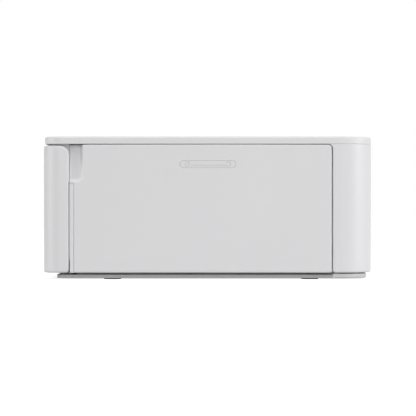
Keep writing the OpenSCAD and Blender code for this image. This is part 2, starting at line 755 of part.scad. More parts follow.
module feed_motor() color("silver") {
    difference() {
        union() {
            bar_x(-plate_x0, -plate_x0 + motor_len, motor, motor_r);
            bar_x(-plate_x0 + motor_len, -plate_x0 + motor_len + 1.5, motor, 3);
        }
        bar_x(-plate_x0 - over, -plate_x0 + 6, motor, 1.5 + run);
    }
}

module motor_pinion() color("goldenrod") {
    gear(pinion_n, outer_x, outer_t, motor, phase_pinion, 1.2);
    bar_x(outer_x, outer_x + outer_t, motor, 1.5);
    bar_x(outer_x + outer_t - 0.1, -plate_x0 + 5, motor, 1.5);
}

module idler_gear_a() color("ivory") {
    gear(idler_n, outer_x, outer_t, idler_a, phase_a, axle_r + run);
    gear(compound_n, inner_x, inner_t + 0.1, idler_a, phase_a, axle_r + run);
    difference() {
        bar_x(inner_x - 1.1, inner_x + 0.1, idler_a, 4);
        bar_x(inner_x - 2, inner_x + 1, idler_a, axle_r + run);
    }
}

module idler_gear_b() color("ivory") {
    gear(idler_n, outer_x, outer_t, idler_b, phase_b, axle_r + run);
}

module idler_gear_c() color("ivory") {
    gear(idler_n, outer_x, outer_t, idler_c, phase_c, axle_r + run);
}

module take_up_drive_gear() color("ivory") {
    gear(take_up_n, inner_x, inner_t, take_up, phase_take_up, dog_r);
    bar_x(inner_x, inner_x + inner_t, take_up, dog_r + 0.5);
    bar_x(inner_x + inner_t - 0.1, case_x0 - 1, take_up, drive_hub_r);
    bar_x(case_x0 - 1.2, case_x0 + 4.5, take_up, dog_r, 6);
}

// ---------- thermal head ----------

module head_pivot_shaft() color("silver") {
    bar_x(-plate_x1, plate_x1, head_pivot, head_shaft_r);
}

module head_arm() color("silver") {
    difference() {
        union() {
            block([-head_w / 2, head_y[0], arm_z], [head_w / 2, head_pivot[0] - 2.5, arm_z + arm_t]);
            for (s = [-1, 1]) {
                bar_x(s * (head_w / 2 + 2) - 4, s * (head_w / 2 + 2) + 4, head_pivot, arm_barrel_r);
                block([s * (head_w / 2 - 1) - 1, head_pivot[0] - 4, arm_z],
                    [s * (head_w / 2 - 1) + 1, head_pivot[0], arm_z + arm_t]);
            }
        }
        bar_x(-plate_x0, plate_x0, head_pivot, head_shaft_r + run);
    }
}

module head_heat_sink() color("lightgray") {
    w = head_w / 2 - 2;
    block([-w, head_y[0] + 1, head_z + 4], [w, head_y[1] - 1, head_z + 7]);
    for (y = [head_y[0] + 1.6:2.6:head_y[1] - 1.6]) block([-w, y - 0.6, head_z + 6], [w, y + 0.6, arm_z]);
}

module thermal_head() color("dimgray") {
    block([-head_w / 2, head_y[0], head_z], [head_w / 2, head_y[1], head_z + 4]);
    block([-head_w / 2 + 1, platen[0] - 2, head_z - 0.8], [head_w / 2 - 1, platen[0] + 2, head_z + 0.2]);
}

// Torsion springs round the pivot shaft, each with a leg over the arm
module head_springs() color("silver") {
    for (s = [-1, 1]) {
        for (i = [0:4]) {
            along_x(s * spring_x - 1.6 + i * 0.8, head_pivot) rotate_extrude($fn = 48) {
                translate([2.7, 0]) circle(r = 0.41, $fn = 24);
            }
        }
        block([s * spring_x - 0.4, head_pivot[0] - 14, head_pivot[1] + 2.4],
            [s * spring_x + 0.4, head_pivot[0], head_pivot[1] + 3.1]);
    }
}

// ---------- paper pick-up ----------

module pick_arm() color("gray") {
    difference() {
        union() {
            bar_x(-16, 16, pick_pivot, 3);
            for (s = [-1, 1]) {
                x0 = s * (pick_arm_x + 1) - 1;
                bar_x(x0, x0 + 2, pick_axis, 2.4);
                along_x(x0, pick_pivot) linear_extrude(2) rotate(heading(pick_pivot, pick_axis)) {
                    translate([0, -2]) square([span(pick_pivot, pick_axis), 4]);
                }
            }
        }
        bar_x(-20, 20, pick_pivot, pick_shaft_r + run);
        bar_x(-20, 20, pick_axis, 1 + run);
    }
}

module pick_roller() color("dimgray") {
    bar_x(-11.5, 11.5, pick_axis, pick_r);
    bar_x(-15.6, 15.6, pick_axis, 1);
}

// ---------- ribbon cassette ----------

// The outline that the case's end plates share
module case_end() {
    translate(take_up) circle(r = take_up_lobe_r);
    translate(supply) circle(r = supply_lobe_r);
    translate([take_up[0], take_up[1]]) square([supply[0] - take_up[0], take_up_lobe_r - 0.4]);
}

// A cylinder between the end plates, running into each of them by overlap
module lobe(overlap, at, r) {
    bar_x(case_x0 + case_end_t - overlap, case_x1 - case_end_t + overlap, at, r);
}

module ink_cassette_case() color("lightsteelblue") {
    slot = ribbon_w / 2 + 0.8;
    difference() {
        union() {
            along_x(case_x0, [0, 0]) linear_extrude(case_end_t) case_end();
            along_x(case_x1 - case_end_t, [0, 0]) linear_extrude(case_end_t) case_end();
            difference() {
                union() {
                    lobe(0.5, take_up, take_up_lobe_r - lobe_rim);
                    lobe(0.5, supply, supply_lobe_r - lobe_rim);
                }
                lobe(0, take_up, take_up_lobe_r - lobe_rim - lobe_wall);
                lobe(0, supply, supply_lobe_r - lobe_rim - lobe_wall);
                block([-slot, take_up[0] + 2.5, paper_z + 1], [slot, take_up[0] + 9, paper_z + 5.4]);
                block([-slot, supply[0] - 9.5, paper_z + 1], [slot, supply[0] - 0.8, paper_z + 5.6]);
            }
        }
        bar_x(case_x0 - over, case_x0 + case_end_t + over, take_up, drive_hub_r + run);
        bar_x(case_x0 - over, case_x0 + case_end_t + over, supply, hub_r + run);
        for (c = [take_up, supply]) bar_x(case_x1 - case_end_t - over, case_x1 + over, c, hub_r + run);
    }
}

module cassette_grip() color("steelblue") {
    mid = (take_up[0] + supply[0]) / 2;
    z0 = take_up[1] - 5;
    z1 = take_up[1] + 7;
    block([case_x1, mid - 10, z0], [grip_x1 - 1.9, mid + 10, z1]);
    difference() {
        along_x(grip_x1 - 2, [0, 0]) linear_extrude(2) case_end();
        for (i = [-2:2]) block([grip_x1 - 0.6, mid + i * 4 - 0.8, z0 + 6], [grip_x1 + over, mid + i * 4 + 0.8, z1 - 1]);
    }
}

// Film between the spools: out of the take-up lobe, level under the head and into the supply lobe
module ribbon_film() color("dimgray") {
    t = 0.1;
    off = roll_room / 2;
    route = [[take_up[0] + 1, take_up[1] - take_up_roll_r - off], [take_up[0] + 6, paper_z + 3.4],
        [platen[0] - 9, paper_z + 0.5], [platen[0] + 9, paper_z + 0.5],
        [supply[0] - 5.5, paper_z + 2.9], [supply[0] - 1, supply[1] - supply_roll_r - off]];
    along_x(-ribbon_w / 2, [0, 0]) linear_extrude(ribbon_w) {
        polygon(concat([for (p = route) p + [0, t]], [for (i = [len(route) - 1:-1:0]) route[i] - [0, t]]));
    }
}

module supply_spool() color("slategray") {
    bar_x(case_x0 + 0.4, case_x1 - 0.4, supply, hub_r);
    bar_x(-ribbon_w / 2, ribbon_w / 2, supply, supply_roll_r);
}

module take_up_spool() color("slategray") {
    difference() {
        union() {
            bar_x(case_x0 - 0.4, case_x0 + 6.5, take_up, drive_hub_r);
            bar_x(case_x0 + 6, case_x1 - 0.4, take_up, hub_r);
            bar_x(-ribbon_w / 2, ribbon_w / 2, take_up, take_up_roll_r);
        }
        bar_x(case_x0 - over, case_x0 + 6, take_up, dog_r + 0.4, 6);
    }
}

// Lever that pushes the cassette out when its tab is pressed down
module eject_lever() color("gray") {
    ax = eject_axis[0];
    az = eject_axis[1];
    y0 = eject_y[0];
    y1 = eject_y[1];
    bar_y(y0, y1, eject_axis, 2.2);
    bar_y(y0 - 1.7, y1 + 1.7, eject_axis, 1);
    block([ax - 0.4, y0, az], [ax + 1.4, y1, az + 14]);
    block([ax, y0, az - 1.2], [frame_x0 - 3.6, y1, az + 0.6]);
}

// ---------- electronics ----------

module main_board() color("darkgreen") {
    block([board_x0, board_y[0], board_z], [plate_x0 - 4, board_y[1], board_z + 1.4]);
    for (x = [-50, -20, 10]) block([x, 0, board_z + 1.4], [x + 14, 14, board_z + 2.6]);
    for (y = [-10, 25, 34]) bar_z(board_z + 1.4, board_z + 3.6, [40, y], 3);
}

module data_sockets() color("silver") {
    difference() {
        block([-hw + 0.3, usb_y - 4.6, board_z + 1.4], [-hw + 9, usb_y + 4.6, board_z + 4.8]);
        block([-hw - over, usb_y - 4.1, board_z + 1.9], [-hw + 7, usb_y + 4.1, board_z + 4.3]);
    }
    difference() {
        block([-hw + 0.3, card_y - 12.6, board_z + 1.4], [outer_x - 2, card_y + 12.6, board_z + 4.4]);
        block([-hw - over, card_y - 12.1, board_z + 1.9], [outer_x - 3, card_y + 12.1, board_z + 3.9]);
    }
}

module dc_in_socket() color("dimgray") {
    difference() {
        union() {
            block([jack_x - 5, in_y - 5, floor_top], [jack_x + 5, in_y - 0.2, jack_z + 5]);
            bar_y(in_y - 1, hd - 0.4, [jack_x, jack_z], 4);
        }
        bar_y(in_y - 4, hd + over, [jack_x, jack_z], 2.9);
    }
    bar_y(in_y - 4.5, hd - 1.2, [jack_x, jack_z], 0.9);
}

module fan_frame() color("dimgray") {
    h = fan_size / 2;
    y0 = in_y - fan_t;
    difference() {
        block([-h, y0, fan_z - h], [h, in_y, fan_z + h]);
        bar_y(y0 + 1.2, in_y + over, [0, fan_z], h - 0.7);
        difference() {
            bar_y(y0 - over, y0 + 2, [0, fan_z], h - 0.7);
            bar_y(y0 - 2 * over, y0 + 3, [0, fan_z], 3.5);
            for (a = [45, 135]) translate([0, y0, fan_z]) rotate([0, a, 0]) cube([fan_size, 6, 1.6], center = true);
        }
    }
}

module fan_rotor() color("black") {
    y0 = in_y - fan_t + 1.7;
    bar_y(y0, y0 + 3.6, [0, fan_z], 4.2);
    for (i = [0:6]) {
        translate([0, y0 + 1.8, fan_z]) rotate([0, i * 360 / 7, 0]) translate([6.1, 0, 0]) rotate([35, 0, 0]) {
            cube([4.6, 0.6, 4], center = true);
        }
    }
}

base_tray();
rubber_feet();
base_screws();
rear_shell();
top_cover();
front_bezel();
door_frame();
hinge_bracket();
ink_door_hinge_pins();
ink_door();
front_cover_hinge_pins();
front_cover();
rear_vent_grille();
display_window();
lcd_module();
button_board();
status_light();
button(0);  // power_button
button(1);  // menu_button
button(2);  // back_button
button(3);  // ok_button
button(4);  // up_button
button(5);  // down_button
button(6);  // left_button
button(7);  // right_button
chassis_left_plate();
chassis_right_plate();
chassis_cross_bars();
paper_guide_plate();
roller_bushes();
platen_roller();
platen_shaft();
platen_gear();
capstan_roller();
capstan_gear();
pinch_roller();
feed_motor();
motor_pinion();
idler_gear_a();
idler_gear_b();
idler_gear_c();
take_up_drive_gear();
head_pivot_shaft();
head_arm();
head_heat_sink();
thermal_head();
head_springs();
pick_arm();
pick_roller();
ink_cassette_case();
cassette_grip();
ribbon_film();
supply_spool();
take_up_spool();
eject_lever();
main_board();
data_sockets();
dc_in_socket();
fan_frame();
fan_rotor();
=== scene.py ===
# %% [markdown]
# # A compact photo printer
# The printer is a low white box with a front cover, a side door for the ribbon cassette, and a lid
# with a display and buttons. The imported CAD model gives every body, joint and size. This notebook
# dresses it: the shells get their true fillets, and every surface gets a material made of nodes.

import bmesh
import bpy
import json
from math import copysign, cos, pi, radians, sin, sqrt
from mathutils import Matrix, Vector

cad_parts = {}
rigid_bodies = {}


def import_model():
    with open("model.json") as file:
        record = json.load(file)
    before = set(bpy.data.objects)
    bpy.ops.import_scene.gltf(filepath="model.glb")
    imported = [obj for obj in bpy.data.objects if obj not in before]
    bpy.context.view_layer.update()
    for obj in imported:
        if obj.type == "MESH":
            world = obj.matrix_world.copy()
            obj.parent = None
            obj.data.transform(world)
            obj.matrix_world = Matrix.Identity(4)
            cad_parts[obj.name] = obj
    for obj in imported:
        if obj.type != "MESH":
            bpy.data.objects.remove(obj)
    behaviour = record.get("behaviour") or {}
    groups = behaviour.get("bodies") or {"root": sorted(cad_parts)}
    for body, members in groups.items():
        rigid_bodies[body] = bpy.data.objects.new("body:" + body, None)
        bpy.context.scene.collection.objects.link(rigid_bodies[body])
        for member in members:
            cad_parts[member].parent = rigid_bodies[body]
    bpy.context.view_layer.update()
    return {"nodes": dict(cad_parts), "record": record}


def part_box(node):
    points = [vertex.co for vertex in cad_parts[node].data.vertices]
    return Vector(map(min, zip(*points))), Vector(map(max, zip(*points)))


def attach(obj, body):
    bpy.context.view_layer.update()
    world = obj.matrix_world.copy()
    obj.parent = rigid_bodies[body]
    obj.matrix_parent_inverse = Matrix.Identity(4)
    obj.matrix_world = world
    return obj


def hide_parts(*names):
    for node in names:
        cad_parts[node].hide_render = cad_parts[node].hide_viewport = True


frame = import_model()
MM = 0.001


def mm(*sizes):
    """Several sizes in millimetres, in metres."""
    return [size * MM for size in sizes]


# %% [markdown]
# ## Sizes
# The frame knows the box of every node, so the faces and edges of the casing come from there. What
# a box can't tell, such as the radius of a corner, is a named value here, in metres.

# %% Faces and edges of the casing
lid_lo, lid_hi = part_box("top_cover")
shell_lo, shell_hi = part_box("rear_shell")
cover_lo, cover_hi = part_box("front_cover")
door_lo, door_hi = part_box("ink_door")
strip_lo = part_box("door_frame")[0]
HALF = shell_hi.x  # half the width
REAR = shell_hi.y  # rear face
JOINT_Z = shell_hi.z  # joint between the shells and the lid
FRONT_R = 7 * MM  # corner of the plan at the front
REAR_R = 14 * MM  # corner of the plan at the rear
WALL = 2.2 * MM
SHELL_GAP = 0.33 * MM  # joint between the door and the rear shell
STRIP_Y = strip_lo.y
RECESS_H = 15.6 * MM  # the finger recess: height, and depth under the lid
RECESS_DEPTH = 3.5 * MM
RECESS_Z = JOINT_Z - RECESS_H
DOOR_FRONT = STRIP_Y + 1.8 * MM
DOOR_REAR = door_hi.y
print("casing: %.1f wide, joint at %.1f" % (2 * HALF / MM, JOINT_Z / MM))

# %% [markdown]
# ## Shader sums
# A material is a graph of nodes. Written one by one, the nodes that add and multiply numbers hide
# the idea, so a small class wraps a socket, and Python sums on it add the Math nodes. All other
# nodes come from one method that takes the node's type, its settings and its inputs.

# %% A socket that can be reckoned with
def sum_with(operation, swapped=False):
    """A method that joins a signal and another value with a Math node."""
    def method(self, other):
        values = (other, self) if swapped else (self, other)
        return self.graph.node("Math", dict(enumerate(values)), operation=operation)
    return method


class Signal:
    """The output of a node. + - * / on it add the Math nodes that work the sum out."""

    def __init__(self, graph, socket):
        self.graph, self.socket = graph, socket

    __add__ = __radd__ = sum_with("ADD")
    __sub__, __rsub__ = sum_with("SUBTRACT"), sum_with("SUBTRACT", swapped=True)
    __mul__ = __rmul__ = sum_with("MULTIPLY")
    __truediv__, __rtruediv__ = sum_with("DIVIDE"), sum_with("DIVIDE", swapped=True)
    __lt__, __gt__ = sum_with("LESS_THAN"), sum_with("GREATER_THAN")
    larger, pingpong = sum_with("MAXIMUM"), sum_with("PINGPONG")

    def __abs__(self):
        return self.graph.node("Math", {0: self}, operation="ABSOLUTE")


# %% A tree of nodes
class Graph:
    """Adds nodes to a tree, of any kind."""
    family = "ShaderNode"

    def __init__(self, tree):
        self.tree = tree

    def node(self, kind, sockets=(), out=0, **settings):
        """A new node's output, after its settings and the values or links of its sockets."""
        made = self.tree.nodes.new(self.family + kind)
        for key, value in settings.items():
            setattr(made, key, value)
        for key, value in dict(sockets).items():
            self.feed(made.inputs[key], value)
        return Signal(self, made.outputs[out])

    def feed(self, socket, value):
        if isinstance(value, Signal):
            self.tree.links.new(value.socket, socket)
        else:
            socket.default_value = (*value, 1) if socket.type == "RGBA" else value

    def seen_rays(self):
        """1 or more for camera, glossy and transmission rays, 0 for those that only carry light."""
        return sum(self.node("LightPath", out="Is %s Ray" % kind)
                   for kind in ("Camera", "Glossy", "Transmission"))


# %% A material and its nodes
class Finish(Graph):
    """Builds one procedural material round a Principled shader."""

    def __init__(self, name, **constants):
        self.material = bpy.data.materials.new(name)
        self.material.use_nodes = True
        super().__init__(self.material.node_tree)
        self.tree.nodes.clear()
        self.shader = self.node("BsdfPrincipled")
        self.surface = self.tree.nodes.new("ShaderNodeOutputMaterial").inputs["Surface"]
        self.feed(self.surface, self.shader)
        self.set(**constants)
        self.place = self.node("TexCoord", out="Object")

    def set(self, **sockets):
        """Feeds the shader: base_color stands for its socket Base Color."""
        for key, value in sockets.items():
            self.feed(self.shader.socket.node.inputs[key.replace("_", " ").title()], value)

    def noise(self, size, detail=2, stretch=(1, 1, 1), roughness=0.5):
        """Noise with spots about size metres across; stretch lengthens them along X, Y or Z."""
        place = self.node("Mapping", {"Vector": self.place, "Scale": [1 / s for s in stretch]})
        return self.node("TexNoise", {
            "Vector": place, "Scale": 1 / size, "Detail": detail, "Roughness": roughness})

    def cells(self, size, out="Distance"):
        return self.node("TexVoronoi", {"Vector": self.place, "Scale": 1 / size}, out)

    def axes(self):
        """The object coordinates x and y, in metres."""
        return [self.node("SeparateXYZ", {"Vector": self.place}, axis) for axis in "XY"]

    def mix(self, share, a, b):
        """Colour a where share is 0 and colour b where it is 1."""
        return self.node("Mix", {0: share, 6: a, 7: b}, 2, data_type="RGBA")

    def shade(self, share, colour, low, high):
        """The base colour is low times colour where share is 0, and high times where it is 1."""
        self.set(base_color=self.mix(share, *[[c * k for c in colour] for k in (low, high)]))

    def bump(self, height, depth):
        """Raises the surface by depth metres where height is 1."""
        self.set(normal=self.node("Bump", {"Height": height, "Distance": depth}))
        return self.material

# %% [markdown]
# ## Plastics
# The casing is ABS from a mould etched to a fine even grain, so it looks soft, not glossy. A
# picture of the grain would not follow the corners, so it is noise in space, a quarter of a
# millimetre across, which raises the surface by a few microns. A second, much larger noise moves
# the colour by a few hundredths, as the thickness of a moulding does. Each finish is kept under the
# name of its material slot; base and sign have none.

# %% Etched and polished plastics
def plastic(name, colour, roughness, grain=0.25 * MM, depth=0.006 * MM, **constants):
    finish = Finish(name, **constants)
    cloud = finish.noise(40 * MM, detail=3)
    speck = finish.noise(grain, detail=3, roughness=0.6)
    finish.shade(cloud, colour, 0.96, 1)
    finish.set(roughness=roughness - 0.04 + speck * 0.08)
    return finish.bump(speck, depth)


FINISHES = {
    "shell": plastic("etched_white_plastic", (0.735, 0.735, 0.745), 0.42),
    "inner_shell": plastic("plain_white_plastic", (0.60, 0.60, 0.61), 0.5),
    # the base is the casing's white plastic; its darker grey colour is painted shade, for the
    # shadow under the casing's overhang
    "base": plastic("base_grey_plastic", (0.37, 0.37, 0.375), 0.5),
    "button": plastic("satin_button_plastic", (0.56, 0.56, 0.57), 0.34, depth=0.003 * MM),
    "dark_plastic": plastic("dark_plastic", (0.045, 0.045, 0.05), 0.42),
    "grey_plastic": plastic("grey_plastic", (0.17, 0.175, 0.18), 0.45),
    "grip": plastic("blue_grip_plastic", (0.10, 0.17, 0.27), 0.38),
    "sign": plastic("icon_ink", (0.12, 0.12, 0.13), 0.5, grain=0.1 * MM, depth=0.002 * MM),
    "gear": plastic("natural_acetal", (0.72, 0.70, 0.62), 0.32, depth=0.002 * MM,
                    subsurface_weight=0.15, subsurface_scale=0.002),
    "cassette": plastic("cloudy_cassette_plastic", (0.34, 0.44, 0.55), 0.28, depth=0.003 * MM,
                        transmission_weight=0.35),
    "light": plastic("light_pipe", (0.55, 0.75, 0.55), 0.25, depth=0.001 * MM,
                     transmission_weight=0.3)}
print("plastics:", len(FINISHES))

# %% [markdown]
# ## Rubber
# Feet and rollers are rubber: dark, dull and a little dusty. The rollers are ground round, which
# leaves fine rings, so their noise is squeezed along the shaft.

# %% Moulded feet and ground rollers
def rubber(name, colour, stretch=(1, 1, 1)):
    finish = Finish(name, sheen_weight=0.15, sheen_roughness=0.5)
    dust = finish.noise(3 * MM, detail=5)
    pores = finish.noise(0.35 * MM, detail=4, stretch=stretch)
    finish.shade(dust, colour, 1, 1.8)
    finish.set(roughness=0.68 + pores * 0.25)
    return finish.bump(pores, 0.03 * MM)


FINISHES["feet"] = rubber("foot_rubber", (0.045, 0.045, 0.048))
FINISHES["roller"] = rubber("roller_rubber", (0.018, 0.018, 0.02), (0.35, 6, 6))
print("with rubber:", len(FINISHES))

# %% [markdown]
# ## Metals
# Sheet steel carries the marks of rolling, which run one way. The noise is stretched along that way
# and changes roughness and height together, so highlights break up into fine lines.

# %% Rolled, turned and extruded metals
def metal(name, colour, roughness, stretch):
    finish = Finish(name, metallic=1.0)
    lines = finish.noise(0.3 * MM, detail=4, stretch=stretch)
    stain = finish.noise(12 * MM, detail=3)
    finish.shade(stain, colour, 0.86, 1)
    finish.set(roughness=roughness - 0.1 + lines * 0.2)
    return finish.bump(lines, 0.004 * MM)


FINISHES["steel"] = metal("zinc_plated_sheet", (0.60, 0.61, 0.62), 0.38, (1, 14, 1))
turned_steel = metal("turned_steel", (0.66, 0.66, 0.67), 0.25, (0.4, 8, 8))
FINISHES["screw"] = metal("screw_steel", (0.46, 0.46, 0.47), 0.35, (3, 3, 1))
FINISHES["brass"] = metal("turned_brass", (0.74, 0.54, 0.24), 0.3, (0.4, 6, 6))
FINISHES["aluminium"] = metal("extruded_aluminium", (0.72, 0.73, 0.74), 0.33, (14, 1, 1))
print("with metals:", len(FINISHES))

# %% [markdown]
# ## Display window
# The window is one polished sheet, printed black along its rim and clear in the middle, where the
# dark display shows through. Alpha does this: it is one on the rim and low in the middle, and the
# distance from the middle tells the two apart.

# %% Printed window and the display behind it
def middle_of(node):
    lo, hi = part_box(node)
    return (lo + hi) / 2


win_lo, win_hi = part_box("display_window")
WINDOW_MID = middle_of("display_window")
PRINTED_RIM = 5 * MM
PIXEL, PIXEL_LINE = 0.17 * MM, 0.08  # the line between pixels, as a share of one


def window_glass():
    finish = Finish("printed_window", base_color=(0.010, 0.010, 0.012))
    x, y = finish.axes()
    across = abs(x - WINDOW_MID.x) - ((win_hi.x - win_lo.x) / 2 - PRINTED_RIM)
    along = abs(y - WINDOW_MID.y) - ((win_hi.y - win_lo.y) / 2 - PRINTED_RIM)
    printed = across.larger(along) > 0
    smear = finish.noise(25 * MM, detail=4)
    finish.set(alpha=0.35 + printed * 0.65, roughness=0.05 + smear * 0.06)
    return finish.material


def display_panel():
    finish = Finish("dark_display", roughness=0.3)
    columns, rows = [(axis / PIXEL).pingpong(0.5) < PIXEL_LINE for axis in finish.axes()]
    grid = columns + rows
    finish.set(base_color=finish.mix(grid, (0.035, 0.04, 0.045), (0.012, 0.012, 0.014)))
    return finish.bump(grid, 0.01 * MM)


FINISHES["window"] = window_glass()
FINISHES["display"] = display_panel()
print("with the window:", len(FINISHES))

# %% [markdown]
# ## Circuit board
# A board is glass fibre under green solder mask, with copper traces that show as lighter lines. The
# joints of a brick pattern make runs that turn at right angles, and a few cells become gold pads.

# %% Solder mask with traces
def circuit_board():
    finish = Finish("green_circuit_board", coat_weight=0.3)
    lane = finish.node("TexBrick", {
        "Vector": finish.place, "Scale": 1 / (8 * MM), "Row Height": 0.2, "Brick Width": 1.7,
        "Mortar Size": 0.012}, "Fac")
    weave = finish.noise(0.6 * MM, stretch=(3, 1, 1))
    mask = finish.mix(lane, (0.010, 0.075, 0.035), (0.03, 0.17, 0.08))
    patch = finish.node("SeparateColor", {"Color": finish.cells(7 * MM, "Color")})
    gold = (finish.cells(2.4 * MM) < 0.16) * (patch > 0.62)
    finish.set(base_color=finish.mix(gold, mask, (0.80, 0.58, 0.22)), metallic=gold,
               roughness=0.28 + weave * 0.12)
    return finish.bump(lane + gold, 0.03 * MM)


FINISHES["board"] = circuit_board()
print("with the board:", len(FINISHES))

# %% [markdown]
# ## Print head and ribbon
# The head is a strip of dark glazed ceramic with fine specks. The ribbon is dye film: glossy,
# nearly black, with bands of a second dark tone that run along the film and round the wound rolls.

# %% Ceramic, film and wound ribbon
def ceramic():
    finish = Finish("glazed_ceramic")
    speck = finish.cells(0.5 * MM)
    finish.set(base_color=finish.mix(speck, (0.022, 0.022, 0.026), (0.05, 0.05, 0.055)),
               roughness=0.16 + speck * 0.2)
    return finish.bump(speck, 0.004 * MM)


def film(name, band):
    finish = Finish(name, roughness=0.18, coat_weight=0.6, coat_roughness=0.1)
    bands = {"Value": finish.noise(5 * MM, stretch=band), "From Min": 0.35, "From Max": 0.65}
    finish.set(base_color=finish.mix(
        finish.node("MapRange", bands, interpolation_type="SMOOTHSTEP"),
        (0.030, 0.012, 0.022), (0.055, 0.035, 0.060)))
    return finish.bump(finish.noise(6 * MM, detail=1, stretch=(6, 1, 1)), 0.06 * MM)


FINISHES["head"] = ceramic()
FINISHES["film"] = film("dye_film", band=(8, 1, 1))
FINISHES["ribbon"] = film("wound_dye_film", band=(0.06, 40, 40))
print("finishes:", len(FINISHES), "materials:", len(bpy.data.materials))

# %% [markdown]
# ## Panels with true fillets
# Every outer shell is a panel: flat, or bent round the corners of the casing. It is built flat
# first, from rings: one on the back, the next ones up the side, and the last ones drawn in along a
# quarter circle, which makes the fillet exact at any size. Each side has its own fillet, because a
# joint needs a crisp edge where a free edge is round.

# %% Rings round a rounded rectangle
ARC_STEPS, FILLET_STEPS = 10, 5
SAME_PLACE = 1e-7  # points closer than this are one


def quarter_turn(steps):
    return [pi / 2 * k / steps for k in range(steps + 1)]


def outline(u0, u1, v0, v1, corners, fillets, steps=ARC_STEPS):
    """Points of a rounded rectangle: the place, the way out of the panel there, and the fillet.
    Corners are the radii at (u1, v1), (u0, v1), (u0, v0), (u1, v0); fillets are those of the sides
    at u1, v1, u0 and v0."""
    spots = [(u1, v1, -1, -1), (u0, v1, 1, -1), (u0, v0, 1, 1), (u1, v0, -1, 1)]
    edges = []
    for quarter, ((u, v, du, dv), r) in enumerate(zip(spots, corners)):
        for k in range(steps + 1):
            turn = k / steps
            angle = pi / 2 * (quarter + turn)
            share = sin(pi / 2 * turn) ** 2
            fillet = fillets[quarter] * (1 - share) + fillets[(quarter + 1) % 4] * share
            out_u, out_v = cos(angle), sin(angle)
            edges.append((u + du * r + out_u * r, v + dv * r + out_v * r, out_u, out_v, fillet))
    return edges


def bridge(bm, low, high):
    """Faces between two rings with the same number of points."""
    for k in range(len(low)):
        n = (k + 1) % len(low)
        bm.faces.new((low[k], low[n], high[n], high[k]))


def skin(bm, rings, closed=False):
    """Faces from ring to ring, and then caps or, if closed, faces from the last to the first."""
    for low, high in zip(rings, rings[1:]):
        bridge(bm, low, high)
    if closed:
        bridge(bm, rings[-1], rings[0])
    else:
        bm.faces.new(rings[-1])
        bm.faces.new(reversed(rings[0]))
    return bm


def face_out(bm):
    bmesh.ops.recalc_face_normals(bm, faces=bm.faces)
    return bm


def loft(edges, levels, closed=False):
    """A closed solid through rings. A level (a, b, c, d) draws each edge in by a + b times its
    fillet, at the height c + d times its fillet."""
    bm = bmesh.new()
    skin(bm, [[bm.verts.new((u - out_u * (a + b * f), v - out_v * (a + b * f), c + d * f))
               for u, v, out_u, out_v, f in edges] for a, b, c, d in levels], closed)
    bmesh.ops.remove_doubles(bm, verts=bm.verts, dist=SAME_PLACE)
    return face_out(bm)


def fillet_levels(steps, way=1):
    """Levels of a quarter circle up to the face at the height 0: inwards, or outwards at way -1."""
    return [(0, way * (1 - cos(t)), 0, -(1 - sin(t))) for t in quarter_turn(steps)]


def panel(u0, u1, v0, v1, depth, corners, fillets, back=0.15 * MM):
    """A panel whose face is at w = 0 and whose back is at w = -depth, as a bmesh in (u, v, w)."""
    return loft(outline(u0, u1, v0, v1, corners, fillets),
                [(back, 0, -depth, 0), (0, 0, -depth + back, 0)] + fillet_levels(FILLET_STEPS))


# %% [markdown]
# ## Bending a panel round the casing
# A bent panel needs edges where it bends, or it would fold like card. The flat panel is cut across
# at each corner, and then every point moves from (length, height, depth) to its place on the plan
# of the casing. Straight stretches stay straight, so a panel is pierced while it is flat, and the
# holes come out right.

# %% The plan of the casing as a path
class Plan:
    """A U-shaped path: straight across the middle, round two corners and along both sides."""

    def __init__(self, half, y, radius, side):
        self.half, self.y, self.radius, self.side = half, y, radius, side
        self.start = half - radius
        self.end = self.start + radius * pi / 2

    def length_to(self, y):
        """Length along the path from the middle to the place y on a side."""
        return self.end + abs(y - self.y) - self.radius

    def bend(self, bm, steps):
        """Bends a flat panel round the path, with steps facets in each corner."""
        turn = [self.start + (self.end - self.start) * k / steps for k in range(steps + 1)]
        bisect(bm, 0, turn + [-t for t in turn])
        return place(bm, self.spot)

    def spot(self, u, v, w):
        """The place of (length, height, depth) on the casing."""
        mirror = copysign(1, u)
        u = abs(u)
        centre = self.y - self.side * self.radius
        if u <= self.start:
            return Vector((mirror * u, self.y + self.side * w, v))
        angle = min((u - self.start) / self.radius, pi / 2)
        reach = self.radius + w
        along = max(u - self.end, 0)
        return Vector((mirror * (self.start + reach * sin(angle)),
                       centre + self.side * (reach * cos(angle) - along), v))


def bisect(bm, axis, stations):
    """Cuts the mesh across at each station along an axis: 0 for u, 1 for v, 2 for w."""
    normal = Vector([float(i == axis) for i in range(3)])
    for s in stations:
        bmesh.ops.bisect_plane(bm, geom=bm.verts[:] + bm.edges[:] + bm.faces[:], dist=SAME_PLACE,
                               plane_co=normal * s, plane_no=normal)


def place(bm, spot):
    """Moves every point from (u, v, w) to spot(u, v, w)."""
    for vert in bm.verts:
        vert.co = spot(*vert.co)
    return face_out(bm)


# %% [markdown]
# ## Round parts
# Knuckles, bosses, buttons and screws are turned shapes: a profile of radius and height is carried
# round an axis, and its ends are closed, unless the profile returns to its start.

# %% Turned shapes
def lathe(bm, profile, spot, sides=32, closed=False):
    """Carries (radius, height) points round an axis; spot maps (x, y, height) to the casing."""
    turns = [2 * pi * k / sides for k in range(sides)]
    return skin(bm, [[bm.verts.new(spot(r * cos(t), r * sin(t), h)) for t in turns]
                     for r, h in profile], closed)


def upright(x, y):
    return lambda a, b, h: (x + a, y + b, h)


def along_x(y, z, x):
    return lambda a, b, h: (x + h, y + a, z + b)


def along_y(x, z):
    return lambda a, b, h: (x + b, h, z + a)


def rod(radius, low, high, edge=0.15 * MM):
    """The profile of a cylinder with small chamfers."""
    return [(radius - edge, low), (radius, low + edge), (radius, high - edge),
            (radius - edge, high)]


def tube(radius, bore, low, high, edge=0.12 * MM):
    """The profile of a tube, for lathe with closed=True."""
    return [(bore, low), *rod(radius, low, high, edge), (bore, high)]


